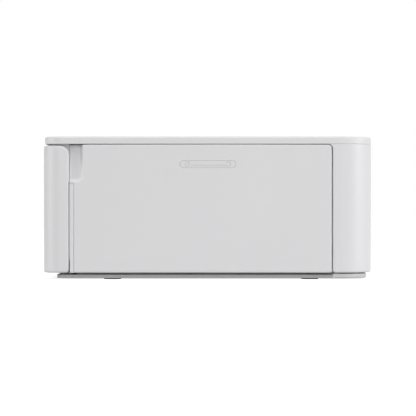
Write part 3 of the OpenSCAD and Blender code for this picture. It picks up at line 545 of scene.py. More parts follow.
def block(bm, low, high):
    """A plain box, as a cutter or a web inside a shell."""
    made = bmesh.ops.create_cube(bm, size=1)
    for vert in made["verts"]:
        vert.co = Vector([(a + b) / 2 + c * (b - a) for a, b, c in zip(low, high, vert.co)])
    return bm


# %% [markdown]
# ## From bmesh to a finished piece
# A hole is a Boolean: one mesh is taken away from another, and the result is read back as a plain
# mesh. Flat faces should look flat right up to their fillet, and the Weighted Normal modifier does
# that by letting the large faces decide. The record gives every node a body and a material slot, so
# a piece that stands for a node rides on that body, with its slot's finish unless another is given.

# %% Piercing and finishing
SLOTS = {part["node"]: part["material_slot"] for part in frame["record"]["subparts"]}
BODIES = {node: body for body, nodes in frame["record"]["behaviour"]["bodies"].items()
          for node in nodes}


def linked(name, mesh):
    """A new object in the scene that shows the mesh."""
    made = bpy.data.objects.new(name, mesh)
    bpy.context.collection.objects.link(made)
    return made


def as_mesh(name, bm):
    """The bmesh as a mesh; the bmesh is used up."""
    mesh = bpy.data.meshes.new(name)
    bm.to_mesh(mesh)
    bm.free()
    return mesh


def from_mesh(mesh, merge=False):
    bm = bmesh.new()
    bm.from_mesh(mesh)
    if merge:
        bmesh.ops.remove_doubles(bm, verts=bm.verts, dist=1e-6)
    return bm


def temporary(bm):
    return linked("scratch", as_mesh("scratch", bm))


def evaluated(obj):
    """The object's mesh with its modifiers applied."""
    return bpy.data.meshes.new_from_object(
        obj.evaluated_get(bpy.context.evaluated_depsgraph_get()))


def pierce(bm, cutter):
    """bm with cutter taken away from it; both are used up."""
    body, tool = temporary(bm), temporary(cutter)
    modifier = body.modifiers.new("pierce", "BOOLEAN")
    modifier.operation, modifier.object, modifier.solver = "DIFFERENCE", tool, "EXACT"
    result = from_mesh(evaluated(body))
    for scratch in (body, tool):
        bpy.data.objects.remove(scratch)
    return result


def piece(name, source, body, slot, finish, nodes=(), sharp=32):
    """Makes a bmesh or a mesh a piece of the printer, which rides on body and stands for nodes."""
    mesh = as_mesh(name, source) if isinstance(source, bmesh.types.BMesh) else source
    obj = linked(name, mesh)
    mesh.materials.clear()
    mesh.materials.append(finish)
    mesh.polygons.foreach_set("use_smooth", [True] * len(mesh.polygons))
    mesh.set_sharp_from_angle(angle=radians(sharp))
    obj.modifiers.new("flat faces stay flat", "WEIGHTED_NORMAL").keep_sharp = True
    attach(obj, body)
    if nodes:
        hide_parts(*nodes)
    print("%-22s %6d faces" % (name, len(mesh.polygons)))
    return obj


def stand_in(source, node, finish=None, sharp=32):
    """A piece that stands for one node, on its body, with its slot's finish unless one is given."""
    slot = SLOTS[node]
    return piece(node + "_skin", source, BODIES[node], slot, finish or FINISHES[slot],
                 [node], sharp)


print("slots in use:", len(set(SLOTS.values())), "bodies:", len(set(BODIES.values())))

# %% [markdown]
# ## Front cover
# The front cover is a tray-shaped moulding that wraps round the front corners and tips forward on
# two knuckles at its foot. It is one flat panel bent round the plan. The rim is clearly rounded,
# which gives the light edge line, and the upper edge closes up the joint with the lid. Pockets and
# slots leave room for the ears of the base while the cover tips.

# %% Bend the front cover
COVER_RISE = 0.25 * MM  # the cover closes up its joint with the lid by this much
COVER_FILLET = 0.8 * MM
FRONT_BENDS, REAR_BENDS = 16, 20  # facets in a corner of the plan
front_plan = Plan(HALF, cover_lo.y, FRONT_R, side=-1)
cover_end = front_plan.length_to(cover_hi.y)
cover = panel(-cover_end, cover_end, cover_lo.z, cover_hi.z + COVER_RISE, WALL,
              corners=mm(3.8, 3.8, 1.5, 1.5), fillets=[COVER_FILLET] * 4)
front_plan.bend(cover, FRONT_BENDS)
print("front cover: %d faces" % len(cover.faces))

# %% Knuckles and pockets of the front cover
COVER_HINGE = Vector((HALF - 19.1 * MM, cover_lo.y + 2.9 * MM, 5.3 * MM))
EAR_PLACE, EAR_WIDTH, EAR_ROOM = mm(3.3, 2, 2)
knuckle = tube(radius=1.65 * MM, bore=0.85 * MM, low=-3 * MM, high=3 * MM)
ear_reach = EAR_WIDTH / 2 + 0.3 * MM
pockets, slots = bmesh.new(), bmesh.new()
for side in (-1, 1):
    for ear in (-1, 1):
        middle = side * COVER_HINGE.x + ear * (EAR_PLACE + EAR_WIDTH / 2)
        lathe(pockets, [(EAR_ROOM, -ear_reach), (EAR_ROOM, ear_reach)],
              along_x(COVER_HINGE.y, COVER_HINGE.z, middle))
        block(slots, (middle - ear_reach, COVER_HINGE.y - EAR_ROOM, cover_lo.z - 1 * MM),
              (middle + ear_reach, cover_hi.y, COVER_HINGE.z))
cover = pierce(pierce(cover, pockets), slots)
for side in (-1, 1):
    lathe(cover, knuckle, along_x(COVER_HINGE.y, COVER_HINGE.z, side * COVER_HINGE.x), closed=True)
stand_in(face_out(cover), "front_cover")

# %% [markdown]
# ## Rear shell
# One moulding makes the left side, the back and the short piece of the right side behind the door.
# Its openings are cut while it is flat, each with a rounded mouth, and then it is bent round the
# plan, with the large radius of the rear corners.

# %% Openings with rounded mouths
def opening(u0, u1, v0, v1, radius, flare=0.3 * MM, depth=5 * MM, grow=0):
    """A cutter for a hole in a panel whose face is at w = 0. It is larger than the four bounds by
    grow on each side, and its mouth widens by flare."""
    edges = outline(u0 - grow, u1 + grow, v0 - grow, v1 + grow, [radius] * 4, [flare] * 4)
    return loft(edges, [(0, 0, -depth, 0), *fillet_levels(4, way=-1), (0, -1, 1 * MM, 0)])


def joined(*parts):
    """Several meshes in one bmesh; the parts are used up."""
    whole = bmesh.new()
    for part in parts:
        mesh = as_mesh("scratch", part)
        whole.from_mesh(mesh)
        bpy.data.meshes.remove(mesh)
    return whole


# %% Cut and bend the rear shell
rear_plan = Plan(HALF, REAR, REAR_R, side=1)
JACK, JACK_R = (HALF - 20.1 * MM, 11 * MM), 4.2 * MM
PAPER_SLOT, PAPER_LOW, PAPER_HIGH = mm(56, 23, 29)
DATA_LOW = 6.0 * MM  # the data sockets: place, half width and upper edge
DATA_SOCKETS = [(-5 * MM, 4.8 * MM, 9.6 * MM), (18 * MM, 12.8 * MM, 9.2 * MM)]
vent_lo, vent_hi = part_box("rear_vent_grille")
vent = (vent_lo.x, vent_hi.x, vent_lo.z, vent_hi.z)
holes = [opening(*vent, 1 * MM, grow=0.2 * MM),
         opening(-PAPER_SLOT, PAPER_SLOT, PAPER_LOW, PAPER_HIGH, 2 * MM, flare=0.6 * MM),
         opening(JACK[0], JACK[0], JACK[1], JACK[1], JACK_R, flare=0.5 * MM, grow=JACK_R)]
for y, half_width, high in DATA_SOCKETS:
    u = -rear_plan.length_to(y)
    holes.append(opening(u - half_width, u + half_width, DATA_LOW, high, 0.6 * MM))
shell = panel(-rear_plan.length_to(STRIP_Y), rear_plan.length_to(DOOR_REAR + SHELL_GAP),
              shell_lo.z, JOINT_Z, WALL, corners=mm(0.9, 0.6, 1.2, 1.3),
              fillets=mm(0.6, 0.3, 0.6, 0.75))
shell = pierce(shell, joined(*holes))
rear_plan.bend(shell, REAR_BENDS)
print("openings:", len(holes))

# %% [markdown]
# The door turns on a pin inside the shell, so the cylinder that its edge sweeps is cut away. A thin
# web on the shell follows the door's round upper corner at the width of the joint.

# %% Room for the door to turn
DOOR_AXIS = Vector((HALF - 2.6 * MM, DOOR_REAR - 3 * MM))
DOOR_CORNER, WEB, WEB_LAP = mm(1.2, 0.35, 0.4)
SWEEP_R = (Vector((HALF, DOOR_REAR)) - DOOR_AXIS).length + 0.2 * MM
sweep = [(SWEEP_R, shell_lo.z - 5 * MM), (SWEEP_R, JOINT_Z + 5 * MM)]
shell = pierce(shell, lathe(bmesh.new(), sweep, upright(*DOOR_AXIS), sides=96))
corner = Vector((DOOR_REAR - DOOR_CORNER, door_hi.z - DOOR_CORNER))
web_end = DOOR_REAR + SHELL_GAP + WEB_LAP
web_face = [corner + (DOOR_CORNER + SHELL_GAP) * Vector((cos(t), sin(t)))
            for t in quarter_turn(12)]
web_face += [Vector((corner.x, JOINT_Z)), Vector((web_end, JOINT_Z)), Vector((web_end, corner.y))]
web = bmesh.new()
skin(web, [[web.verts.new((x, p.x, min(p.y, JOINT_Z))) for p in web_face]
           for x in (HALF - WEB, HALF)])
shell = joined(shell, web)
print("sweep of the door: %.2f mm" % (SWEEP_R / MM))

# %% Screw bosses inside the shell
POST = Vector((HALF - 9.3 * MM, REAR - 9 * MM, 3.4 * MM))
POST_TOP, POST_R, POST_BORE, RIB = mm(16, 3.4, 1.35, 0.8)
for side in (-1, 1):
    x = side * POST.x
    lathe(shell, tube(POST_R, POST_BORE, POST.z, POST_TOP), upright(x, POST.y), closed=True)
    block(shell, (x - RIB, POST.y + 3 * MM, POST.z), (x + RIB, REAR - WALL + 0.5 * MM, POST_TOP))
stand_in(face_out(shell), "rear_shell")

# %% [markdown]
# ## Side door
# The door is flat, with a finger recess moulded into its front end: a hollow that is deepest under
# the lid and runs out in a soft lip. It is not cut out. The face is divided into a fine grid there,
# and each point sinks by a depth that a short rule gives, so the wall keeps its thickness. The
# upper edge bows up a little in the middle, as a long moulding does.

# %% The door as a flat panel
LINE = 0.21 * MM  # the face closes up its joints by this much
SCOOP_FRONT = STRIP_Y - 0.25 * MM  # the recess runs up to the front cover
BOW, BOW_HALF = mm(0.11, 75)
EDGE_BAND = 0.8 * MM  # the points this close to the upper edge follow the bow
door = panel(SCOOP_FRONT, DOOR_REAR, door_lo.z, door_hi.z + LINE / 2, WALL,
             corners=[DOOR_CORNER, 0.4 * MM, 0.4 * MM, 0.9 * MM],
             fillets=mm(0.6, 0.45, 0.15, 0.6))
door = pierce(door, opening(STRIP_Y - 5 * MM, DOOR_FRONT - LINE, door_lo.z - 5 * MM,
                            RECESS_Z - LINE / 2, 0.3 * MM, flare=0.2 * MM))
bisect(door, 0, [k * 5 * MM for k in range(-9, 9)])
for vert in door.verts:
    if vert.co.y > door_hi.z - EDGE_BAND:
        vert.co.y += BOW * max(1 - (vert.co.x / BOW_HALF) ** 2, 0) ** 2
print("door: %.1f long" % ((DOOR_REAR - SCOOP_FRONT) / MM))

# %% The finger recess
RECESS_END = STRIP_Y + 4.9 * MM
LIP_DEPTH, LIP_H = mm(1.1, 1.7)
END_R, CORNER_H = mm(2, 2.4)  # the lower rear corner of the recess is round
FALL = 1.6  # the hollow gets shallower by this power
SOFT, SOFTER = mm(0.8, 1.8)  # width of the rear edge under the lid, and what it gains downwards
BACK_STAYS = 1 * MM  # the back of the door follows only what is deeper than this
GRID_Y, GRID_Z, MARGIN = mm(0.2, 0.25, 2)


def ease(share):
    """An S-shaped rise from 0 to 1."""
    share = min(max(share, 0), 1)
    return share * share * (3 - 2 * share)


def recess(y, z):
    """How far the face of the door lies in at (y, z)."""
    down = min(max((JOINT_Z - z) / RECESS_H, 0), 1)
    hollow = LIP_DEPTH + (RECESS_DEPTH - LIP_DEPTH) * (1 - down) ** FALL
    lip = ease((z - RECESS_Z) / LIP_H)
    corner = max(0, 1 - (z - RECESS_Z) / CORNER_H)
    end = RECESS_END - END_R * (1 - sqrt(1 - min(corner, 1) ** 2))
    soft = SOFT + SOFTER * down
    return hollow * lip * ease((end + soft * 0.4 - y) / soft)


grid_end = RECESS_END + 1.6 * MM
bisect(door, 0, [STRIP_Y + k * GRID_Y for k in range(-1, int((grid_end - STRIP_Y) / GRID_Y) + 2)])
bisect(door, 1, [RECESS_Z - MARGIN + k * GRID_Z
                 for k in range(int((door_hi.z - RECESS_Z + MARGIN) / GRID_Z) + 1)])
for vert in door.verts:
    u, v, w = vert.co
    sink = recess(u, v)
    vert.co.z -= sink if w > -WALL / 2 else max(sink - BACK_STAYS, 0)
print("door grid:", len(door.faces))

# %% [markdown]
# ## A sign on the door
# The real door says what is behind it. Here a plain sign does that: a ribbon cassette seen from the
# side, as a long rounded frame with its two spools and the film between them. It is sunk by a fifth
# of a millimetre, as a moulded sign is.

# %% The sign of a cassette, sunk in the face
SIGN = Vector((0.0, 46.5 * MM))
SIGN_HALF = Vector((11.5 * MM, 1.6 * MM))
SIGN_LINE, SIGN_DEPTH, SPOOL_LINE = mm(0.42, 0.22, 0.3)
SPOOL_R, SPOOL_U, FILM_DROP = 1.05 * MM, SIGN_HALF.x - 3.2 * MM, 0.55 * MM
ABOVE = 0.5 * MM  # a cutter stands out of the face by this much
ROUND = 0.999  # a corner radius just under half the height


def sunk_ring(u, v, half_u, half_v, line=SIGN_LINE):
    """A cutter for a closed groove round a rounded bar or a circle."""
    edges = outline(u - half_u, u + half_u, v - half_v, v + half_v, [half_v * ROUND] * 4, [0] * 4)
    return loft(edges, [(0.1 * MM, 0, -SIGN_DEPTH, 0), (0, 0, ABOVE, 0), (line, 0, ABOVE, 0),
                        (line - 0.1 * MM, 0, -SIGN_DEPTH, 0)], closed=True)


def sunk_bar(u0, u1, v):
    edges = outline(u0, u1, v - SIGN_LINE / 2, v + SIGN_LINE / 2, [SIGN_LINE * 0.49] * 4, [0] * 4)
    return loft(edges, [(0.06 * MM, 0, -SIGN_DEPTH, 0), (0, 0, ABOVE, 0)])


rings = [sunk_ring(SIGN.x + side * SPOOL_U, SIGN.y, SPOOL_R, SPOOL_R * 0.98, SPOOL_LINE)
         for side in (-1, 1)]
film_end = SPOOL_U - 1.6 * MM
door = pierce(door, joined(sunk_ring(*SIGN, *SIGN_HALF), *rings,
                           sunk_bar(SIGN.x - film_end, SIGN.x + film_end, SIGN.y - FILM_DROP)))
print("sign: %.1f long" % (2 * SIGN_HALF.x / MM))

# %% Hinge knuckles and latch of the door
EAR_LEVELS = (10 * MM, JOINT_Z - 10.6 * MM)
EAR_H, KNUCKLE_H, KNUCKLE_R, PIN_BORE, PLAY = mm(3, 4, 1.6, 0.75, 0.2)
pockets = joined(*[block(bmesh.new(),
                         (DOOR_AXIS.y - 1.6 * MM, z - PLAY, DOOR_AXIS.x - HALF - 1 * MM),
                         (DOOR_REAR + 1 * MM, z + EAR_H + PLAY, -0.8 * MM)) for z in EAR_LEVELS])
door = place(pierce(door, pockets), lambda u, v, w: Vector((HALF + w, u, v)))
for z in EAR_LEVELS:
    for low in (z + EAR_H + PLAY, z - PLAY - KNUCKLE_H):
        turned = tube(KNUCKLE_R, PIN_BORE, low, low + KNUCKLE_H)
        lathe(door, turned, upright(*DOOR_AXIS), closed=True)
LATCH = Vector((strip_lo.x, DOOR_FRONT + 5.5 * MM, JOINT_Z / 2))
LATCH_HALF = 4 * MM
for x, y in ((HALF - WALL + 0.2 * MM, 0.6 * MM), (LATCH.x - 0.4 * MM, 1.6 * MM)):
    block(door, (LATCH.x - 1.4 * MM, LATCH.y - 1 * MM, LATCH.z - LATCH_HALF),
          (x, LATCH.y + y, LATCH.z + LATCH_HALF))
stand_in(face_out(door), "ink_door", sharp=40)

# %% [markdown]
# ## Lid
# The lid is a slab with a rounded upper edge and a hollow below. It is one loft: from the ceiling
# of the hollow, down the inside, round the lower edge, up the outside, and over the fillet to the
# top. The window sits in a shallow recess, and the buttons in round holes with soft mouths.

# %% The lid as one loft
LID_SKIN, LID_RIM, LID_FOOT = mm(2.2, 4.6, 0.2)
LID_TOP = lid_hi.z
lid_t = LID_TOP - JOINT_Z
lid = loft(outline(-HALF, HALF, lid_lo.y, REAR, [REAR_R, REAR_R, FRONT_R, FRONT_R],
                   [0.8 * MM] * 4, steps=18),
           [(LID_RIM, 0, -LID_SKIN, 0), (LID_RIM, 0, -lid_t, 0), (LID_FOOT, 0, -lid_t, 0),
            (0, 0, -lid_t + LID_FOOT, 0)] + fillet_levels(7))
print("lid: %.1f high" % (lid_t / MM))

# %% Recess of the window, and holes
BUTTONS = ["power", "menu", "back", "ok", "up", "down", "left", "right"]
BUTTON_R, THROUGH = mm(4, 4)
window = (win_lo.x, win_hi.x, win_lo.y, win_hi.y)
lid = pierce(lid, opening(*window, 1.5 * MM, flare=0.35 * MM, depth=1.12 * MM, grow=0.12 * MM))
lid = pierce(lid, opening(*window, 1 * MM, depth=THROUGH, grow=-2.5 * MM))


def round_hole(node, radius, flare):
    x, y, _ = middle_of(node)
    return opening(x, x, y, y, radius, flare, THROUGH, grow=radius)


round_holes = [round_hole(name + "_button", BUTTON_R + 0.25 * MM, 0.5 * MM) for name in BUTTONS]
lid = pierce(lid, joined(*round_holes, round_hole("status_light", 1.05 * MM, 0.2 * MM)))
place(lid, lambda u, v, w: Vector((u, v, LID_TOP + w)))
board_lo, board_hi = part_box("button_board")
STUD_IN, STUD_R = mm(3, 1.8)
for x in (board_lo.x + STUD_IN, board_hi.x - STUD_IN):
    for y in (board_lo.y + STUD_IN, board_hi.y - STUD_IN):
        lathe(lid, [(STUD_R, lid_lo.z), (STUD_R, LID_TOP - LID_SKIN + 0.2 * MM)], upright(x, y),
              sides=20)
stand_in(face_out(lid), "top_cover")

# %% The window sheet
sheet = panel(*window, win_hi.z - win_lo.z, [1.4 * MM] * 4, [0.25 * MM] * 4)
stand_in(place(sheet, lambda u, v, w: Vector((u, v, win_hi.z + w))), "display_window")

# %% [markdown]
# ## What repeats
# Slats, screws and feet are one shape many times over. A Geometry Nodes tree sets a shape on a grid
# of points, so its number and pitch are inputs. The tree ends in Realize Instances and Set
# Material, and the result is read back as a plain mesh.

# %% A tree with named inputs
class Tree(Graph):
    """A Geometry Nodes group; its last input is the material, and text stands for an input."""
    family = "GeometryNode"

    def __init__(self, name, **inputs):
        super().__init__(bpy.data.node_groups.new(name, "GeometryNodeTree"))
        new_socket = self.tree.interface.new_socket
        new_socket("Geometry", in_out="OUTPUT", socket_type="NodeSocketGeometry")
        self.ids = {key: new_socket(key, in_out="INPUT", socket_type="NodeSocket" + kind).identifier
                    for key, kind in {**inputs, "Finish": "Material"}.items()}
        group = self.tree.nodes.new("NodeGroupInput")
        self.inputs = {key: Signal(self, group.outputs[key]) for key in self.ids}

    def feed(self, socket, value):
        super().feed(socket, self.inputs[value] if isinstance(value, str) else value)

    def close(self, geometry):
        real = self.node("RealizeInstances", {"Geometry": geometry})
        dressed = self.node("SetMaterial", {"Geometry": real, "Material": "Finish"})
        self.feed(self.tree.nodes.new("NodeGroupOutput").inputs[0], dressed)

    def run(self, **values):
        """The plain mesh that the tree makes with these inputs."""
        host = temporary(bmesh.new())
        modifier = host.modifiers.new("tree", "NODES")
        modifier.node_group = self.tree
        for key, value in values.items():
            modifier[self.ids[key]] = value
        mesh = evaluated(host)
        bpy.data.objects.remove(host)
        return mesh


# %% Shapes on a grid
grid = Tree("shapes_on_a_grid", Shape="Object", Columns="Int", Rows="Int", Width="Float",
            Depth="Float", Middle="Vector")
points = grid.node("MeshGrid", {
    "Size X": "Width", "Size Y": "Depth", "Vertices X": "Columns", "Vertices Y": "Rows"})
moved = grid.node("Transform", {"Geometry": points, "Translation": "Middle"})
shape = grid.node("ObjectInfo", {"Object": "Shape"}, "Geometry")
grid.close(grid.node("InstanceOnPoints", {"Points": moved, "Instance": shape}))
print("inputs of the grid:", *grid.ids)


def on_grid(source, **inputs):
    """A plain mesh with the shape in source on every point of a grid; source is used up."""
    shape = temporary(source)
    mesh = grid.run(Shape=shape, **inputs)
    bpy.data.objects.remove(shape)
    return mesh


def at_corners(source, node, half, z):
    """Four of one shape, half as wide and deep as half, in the corners of a node's box."""
    lo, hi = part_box(node)
    mid = middle_of(node)
    stand_in(on_grid(source, Columns=2, Rows=2, Width=hi.x - lo.x - 2 * half[0],
                     Depth=hi.y - lo.y - 2 * half[1], Middle=(mid.x, mid.y, z),
                     Finish=FINISHES[SLOTS[node]]), node)


# %% [markdown]
# ## Feet and screws
# Four rubber pads stand in shallow seats of the base, and four screws hold the base from below. A
# screw has a turned head with a cross recess, whose sides slope as the driver's tip does.

# %% Rubber pads
FOOT = Vector((8.45 * MM, 3.45 * MM))
FOOT_TOP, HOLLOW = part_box("rubber_feet")[1].z, 0.12 * MM
pad = loft(outline(-FOOT.x, FOOT.x, -FOOT.y, FOOT.y, [FOOT.y * ROUND] * 4, [0.25 * MM] * 4),
           [(0, 0, FOOT_TOP, 0), (0, 0, 0, 1), (0, 0.3, 0, 0.3), (0, 1, 0, 0),
            (1.2 * MM, 0, 0, 0), (1.5 * MM, 0, HOLLOW, 0)])
at_corners(pad, "rubber_feet", FOOT, 0)

# %% Cross-recessed screws
screws_lo, screws_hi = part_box("base_screws")
HEAD_R, HEAD_H, SHANK_R, SHANK_H = 2.6 * MM, 1.1 * MM, 1.3 * MM, screws_hi.z - screws_lo.z
CROSS_LONG, CROSS_WIDE, CROSS_SLOPE, CROSS_R = mm(1.35, 0.32, 0.14, 0.16)
screw = lathe(bmesh.new(),
              [(HEAD_R - 0.5 * MM, 0), (HEAD_R - 0.15 * MM, 0.2 * MM), (HEAD_R, 0.5 * MM),
               (HEAD_R, HEAD_H), (SHANK_R, HEAD_H), (SHANK_R, SHANK_H - 0.6 * MM),
               (SHANK_R * 0.5, SHANK_H)], upright(0, 0), sides=40)
for x, y in ((CROSS_LONG, CROSS_WIDE), (CROSS_WIDE, CROSS_LONG)):
    # the corners are rounder than the slope is deep, or the cutter would fold over itself
    cross = outline(-x, x, -y, y, [CROSS_R] * 4, [0] * 4, steps=3)
    screw = pierce(screw, loft(cross, [(0, 0, -0.1 * MM, 0), (CROSS_SLOPE, 0, 0.7 * MM, 0)]))
at_corners(screw, "base_screws", (HEAD_R, HEAD_R), screws_lo.z)

# %% [markdown]
# ## Vent
# The vent is a frame with upright slats in front of the fan: one rounded bar on a row of points,
# seventeen times, three millimetres apart.

# %% Frame and slats
SLATS, PITCH, SLAT_HALF, SLAT_SUNK = 17, 3 * MM, 0.6 * MM, 0.1 * MM
vent_depth = vent_hi.y - vent_lo.y
RIM_SIDE, RIM_END = mm(1.8, 1.5)
rim = pierce(panel(*vent, vent_depth, [0.9 * MM] * 4, [0.3 * MM] * 4),
             opening(vent_lo.x + RIM_SIDE, vent_hi.x - RIM_SIDE, vent_lo.z + RIM_END,
                     vent_hi.z - RIM_END, 0.7 * MM))
place(rim, lambda u, v, w: Vector((-u, vent_hi.y + w, v)))
slat = panel(-SLAT_HALF, SLAT_HALF, vent_lo.z + 1.2 * MM, vent_hi.z - 1.2 * MM,
             vent_depth - 2 * SLAT_SUNK, [0.3 * MM] * 4, [0.28 * MM] * 4, back=0.1 * MM)
place(slat, lambda u, v, w: Vector((-u, w, v)))
# the two rows of the grid lie in one place, so what they double is merged
slats = from_mesh(on_grid(slat, Columns=SLATS, Rows=2, Width=PITCH * (SLATS - 1), Depth=0.0,
                          Middle=(0, vent_hi.y - SLAT_SUNK, 0), Finish=FINISHES["inner_shell"]),
                  merge=True)
stand_in(joined(rim, slats), "rear_vent_grille")

# %% [markdown]
# ## Buttons
# Each button is turned: a cap with a soft rim and a slightly hollow top, a flange that keeps it
# under the lid, and a plunger that meets the switch. The signs are generic: arrows, a ring to
# confirm, a bent arrow to go back, bars for the menu and the usual sign for power.

# %% Caps
cap_lo, cap_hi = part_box("ok_button")
FLANGE_HIGH = LID_TOP - LID_SKIN - 0.4 * MM
FLANGE_LOW = FLANGE_HIGH - 0.7 * MM
FLANGE_R, PLUNGER_R, CAP_FILLET, CAP_HOLLOW = mm(4.8, 1.2, 0.5, 0.05)
cap_profile = [(PLUNGER_R, cap_lo.z), (PLUNGER_R, FLANGE_LOW), (FLANGE_R, FLANGE_LOW),
               (FLANGE_R, FLANGE_HIGH), (BUTTON_R, FLANGE_HIGH)]
cap_profile += [(BUTTON_R - CAP_FILLET * (1 - cos(t)),
                 cap_hi.z - CAP_FILLET * (1 - sin(t))) for t in quarter_turn(7)]
cap_profile += [(r * MM, cap_hi.z - CAP_HOLLOW * (1 - (r / 3.3) ** 2))
                for r in (3.0, 2.2, 1.2, 0.4)]
for name in BUTTONS:
    x, y, _ = middle_of(name + "_button")
    stand_in(lathe(bmesh.new(), cap_profile, upright(x, y), sides=48), name + "_button")


# %% Signs on the caps
def prism(bm, points, at, turn=0):
    """A thin raised sign on a cap: a polygon in millimetres, turned by turn degrees."""
    spin = Matrix.Rotation(radians(turn), 2)
    flat = [spin @ Vector(p) * MM for p in points]
    skin(bm, [[bm.verts.new((at.x + p.x, at.y + p.y, z)) for p in flat]
              for z in (cap_hi.z - 0.08 * MM, cap_hi.z + 0.02 * MM)])


def arc(radius, line, start, end, steps=24):
    """The outline of a bent line between two angles in degrees."""
    angles = [radians(start + (end - start) * k / steps) for k in range(steps + 1)]
    outer, inner = [[(r * cos(a), r * sin(a)) for a in angles]
                    for r in (radius + line / 2, radius - line / 2)]
    return outer + inner[::-1]


def bar(x0, x1, y0, y1):
    return [(x0, y0), (x1, y0), (x1, y1), (x0, y1)]


STROKE = 0.32
arrow = [(-1.1, -0.6), (1.1, -0.6), (0, 0.9)]
SIGNS = {
    "power": [arc(1.3, STROKE, 125, 415), bar(-0.16, 0.16, 0.3, 1.7)],
    "menu": [bar(-1.3, 1.3, y - 0.16, y + 0.16) for y in (-0.8, 0, 0.8)],
    "back": [[(-1.5, 0.45), (-0.5, 1.3), (-0.5, -0.4)], bar(-0.6, 0.6, 0.29, 0.61),
             [(x + 0.6, y - 0.3) for x, y in arc(0.75, STROKE, -90, 90)]],
    "ok": [arc(1.2, STROKE, 0, 359.5, 40)],
    "up": [arrow], "left": [arrow], "down": [arrow], "right": [arrow]}
TURNS = {"left": 90, "down": 180, "right": 270}
for name, strokes in SIGNS.items():
    sign = bmesh.new()
    for points in strokes:
        prism(sign, points, middle_of(name + "_button"), TURNS.get(name, 0))
    piece(name + "_sign", face_out(sign), name + "_button", "dark_plastic", FINISHES["sign"])

# %% Light pipe
light_lo, light_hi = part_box("status_light")
LIGHT = [(1 * MM, light_lo.z), (1 * MM, light_hi.z - 0.3 * MM),
         (0.85 * MM, light_hi.z - 0.12 * MM), (0.45 * MM, light_hi.z)]
x, y, _ = middle_of("status_light")
stand_in(lathe(bmesh.new(), LIGHT, upright(x, y)), "status_light")

# %% [markdown]
# ## Springs of the head
# Two torsion springs press the print head on the roller. A spring is a curve that follows a rule,
# so the Spiral node draws it, and a round profile is carried along it.

# %% A wound spring
coil = Tree("wound_spring", Turns="Float", Radius="Float", Wire="Float", Length="Float")
helix = coil.node("CurveSpiral", {
    "Resolution": 28, "Rotations": "Turns", "Start Radius": "Radius", "End Radius": "Radius",
    "Height": "Length"})
section = coil.node("CurvePrimitiveCircle", {"Resolution": 10, "Radius": "Wire"}, "Curve")
coil.close(coil.node("CurveToMesh", {"Curve": helix, "Profile Curve": section, "Fill Caps": True}))
springs_lo, springs_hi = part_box("head_springs")
pivot = middle_of("head_pivot_shaft")
SPRING_R, SPRING_WIRE, SPRING_LENGTH = mm(2.72, 0.36, 3.4)
springs = bmesh.new()
for side in (-1, 1):
    winding = from_mesh(coil.run(Turns=4.5, Radius=SPRING_R, Wire=SPRING_WIRE,
                                 Length=SPRING_LENGTH, Finish=turned_steel))
    middle = side * (springs_hi.x - 2.0 * MM)
    left = middle - SPRING_LENGTH / 2
    place(winding, lambda u, v, w: Vector((left + w, pivot.y - v, pivot.z + u)))
    lathe(winding, rod(SPRING_WIRE, springs_lo.y, pivot.y), along_y(middle, pivot.z + SPRING_R),
          sides=10)
    springs = joined(springs, winding)
stand_in(springs, "head_springs")

# %% [markdown]
# ## Small closing pieces
# Four small pieces stand for no node. Each closes a joint or a corner that would look open or too
# crisp, and rides on the body it belongs to: a tongue behind the joint of the front cover, which
# ends above the foot of the tipping cover, the rear edge of the bezel beside the finger recess, a
# skirt round the base below the rear shell, and the foot of the apron below the door.

# %% Tongue, edge, skirt and foot
TONGUE_LOW, TONGUE_SUNK, CLEAR = mm(8, 0.3, 0.3)
EDGE_IN, EDGE_OUT = mm(5, 2.75)
SKIRT_IN, SKIRT_REAR, SKIRT_GROOVE, SKIRT_WALL = mm(1.0, 1.9, 0.4, 1)
APRON_IN, APRON_WALL = mm(4.5, 1.5)
base_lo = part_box("base_tray")[0]
skirt_plan = Plan(HALF - SKIRT_IN, REAR - SKIRT_REAR, REAR_R - 1.5 * MM, side=1)
skirt = panel(-skirt_plan.length_to(STRIP_Y), skirt_plan.length_to(DOOR_REAR + SHELL_GAP),
              base_lo.z, shell_lo.z - SKIRT_GROOVE, SKIRT_WALL, corners=[0.3 * MM] * 4,
              fillets=mm(0.25, 0.2, 0.5, 0.6))
apron_x = HALF - APRON_IN
for name, node, finish, source in (
        ("joint_tongue", "door_frame", "shell",
         block(bmesh.new(), (strip_lo.x, SCOOP_FRONT, TONGUE_LOW),
               (HALF - TONGUE_SUNK, STRIP_Y + CLEAR, RECESS_Z - CLEAR))),
        ("bezel_edge", "front_bezel", "shell",
         block(bmesh.new(), (HALF - EDGE_IN, STRIP_Y - 0.6 * MM, RECESS_Z),
               (HALF - EDGE_OUT, SCOOP_FRONT - 0.04 * MM, JOINT_Z))),
        # the skirt takes the darker inner plastic: partly the base's own colour, partly painted
        # shade under the rear shell
        ("base_skirt", "base_tray", "inner_shell", skirt_plan.bend(skirt, REAR_BENDS)),
        # the apron foot takes the base's darker grey, which is painted shade
        ("apron_foot", "base_tray", "base",
         block(bmesh.new(), (apron_x - APRON_WALL, DOOR_AXIS.y - 6.5 * MM, base_lo.z + 0.6 * MM),
               (apron_x, DOOR_REAR + 1 * MM, door_lo.z - 0.1 * MM)))):
    piece(name, source, BODIES[node], SLOTS[node], FINISHES[finish])

# %% [markdown]
# ## Parts that keep their CAD shape
# The other nodes are right as they are, and only too crisp. The triangles of a CAD node are loose,
# so a copy is merged and its flat faces are dissolved. Then a Bevel modifier rounds its edges by a
# tenth of a millimetre or more, as a press tool or a mould would. The film is too thin for that and
# keeps its cut edges.

# %% Soften and dress the inner parts
SOFT_EDGE = {"base_tray": 0.6, "front_bezel": 0.3, "door_frame": 0.18, "feed_motor": 0.3,
             "cassette_grip": 0.3, "ink_cassette_case": 0.2, "ribbon_film": 0}
PLAIN_EDGE = 0.12
# the base tray's darker grey finish is painted shade; the door frame takes the shell's plastic
OTHER_FINISH = {"base_tray": FINISHES["base"], "door_frame": FINISHES["shell"]}


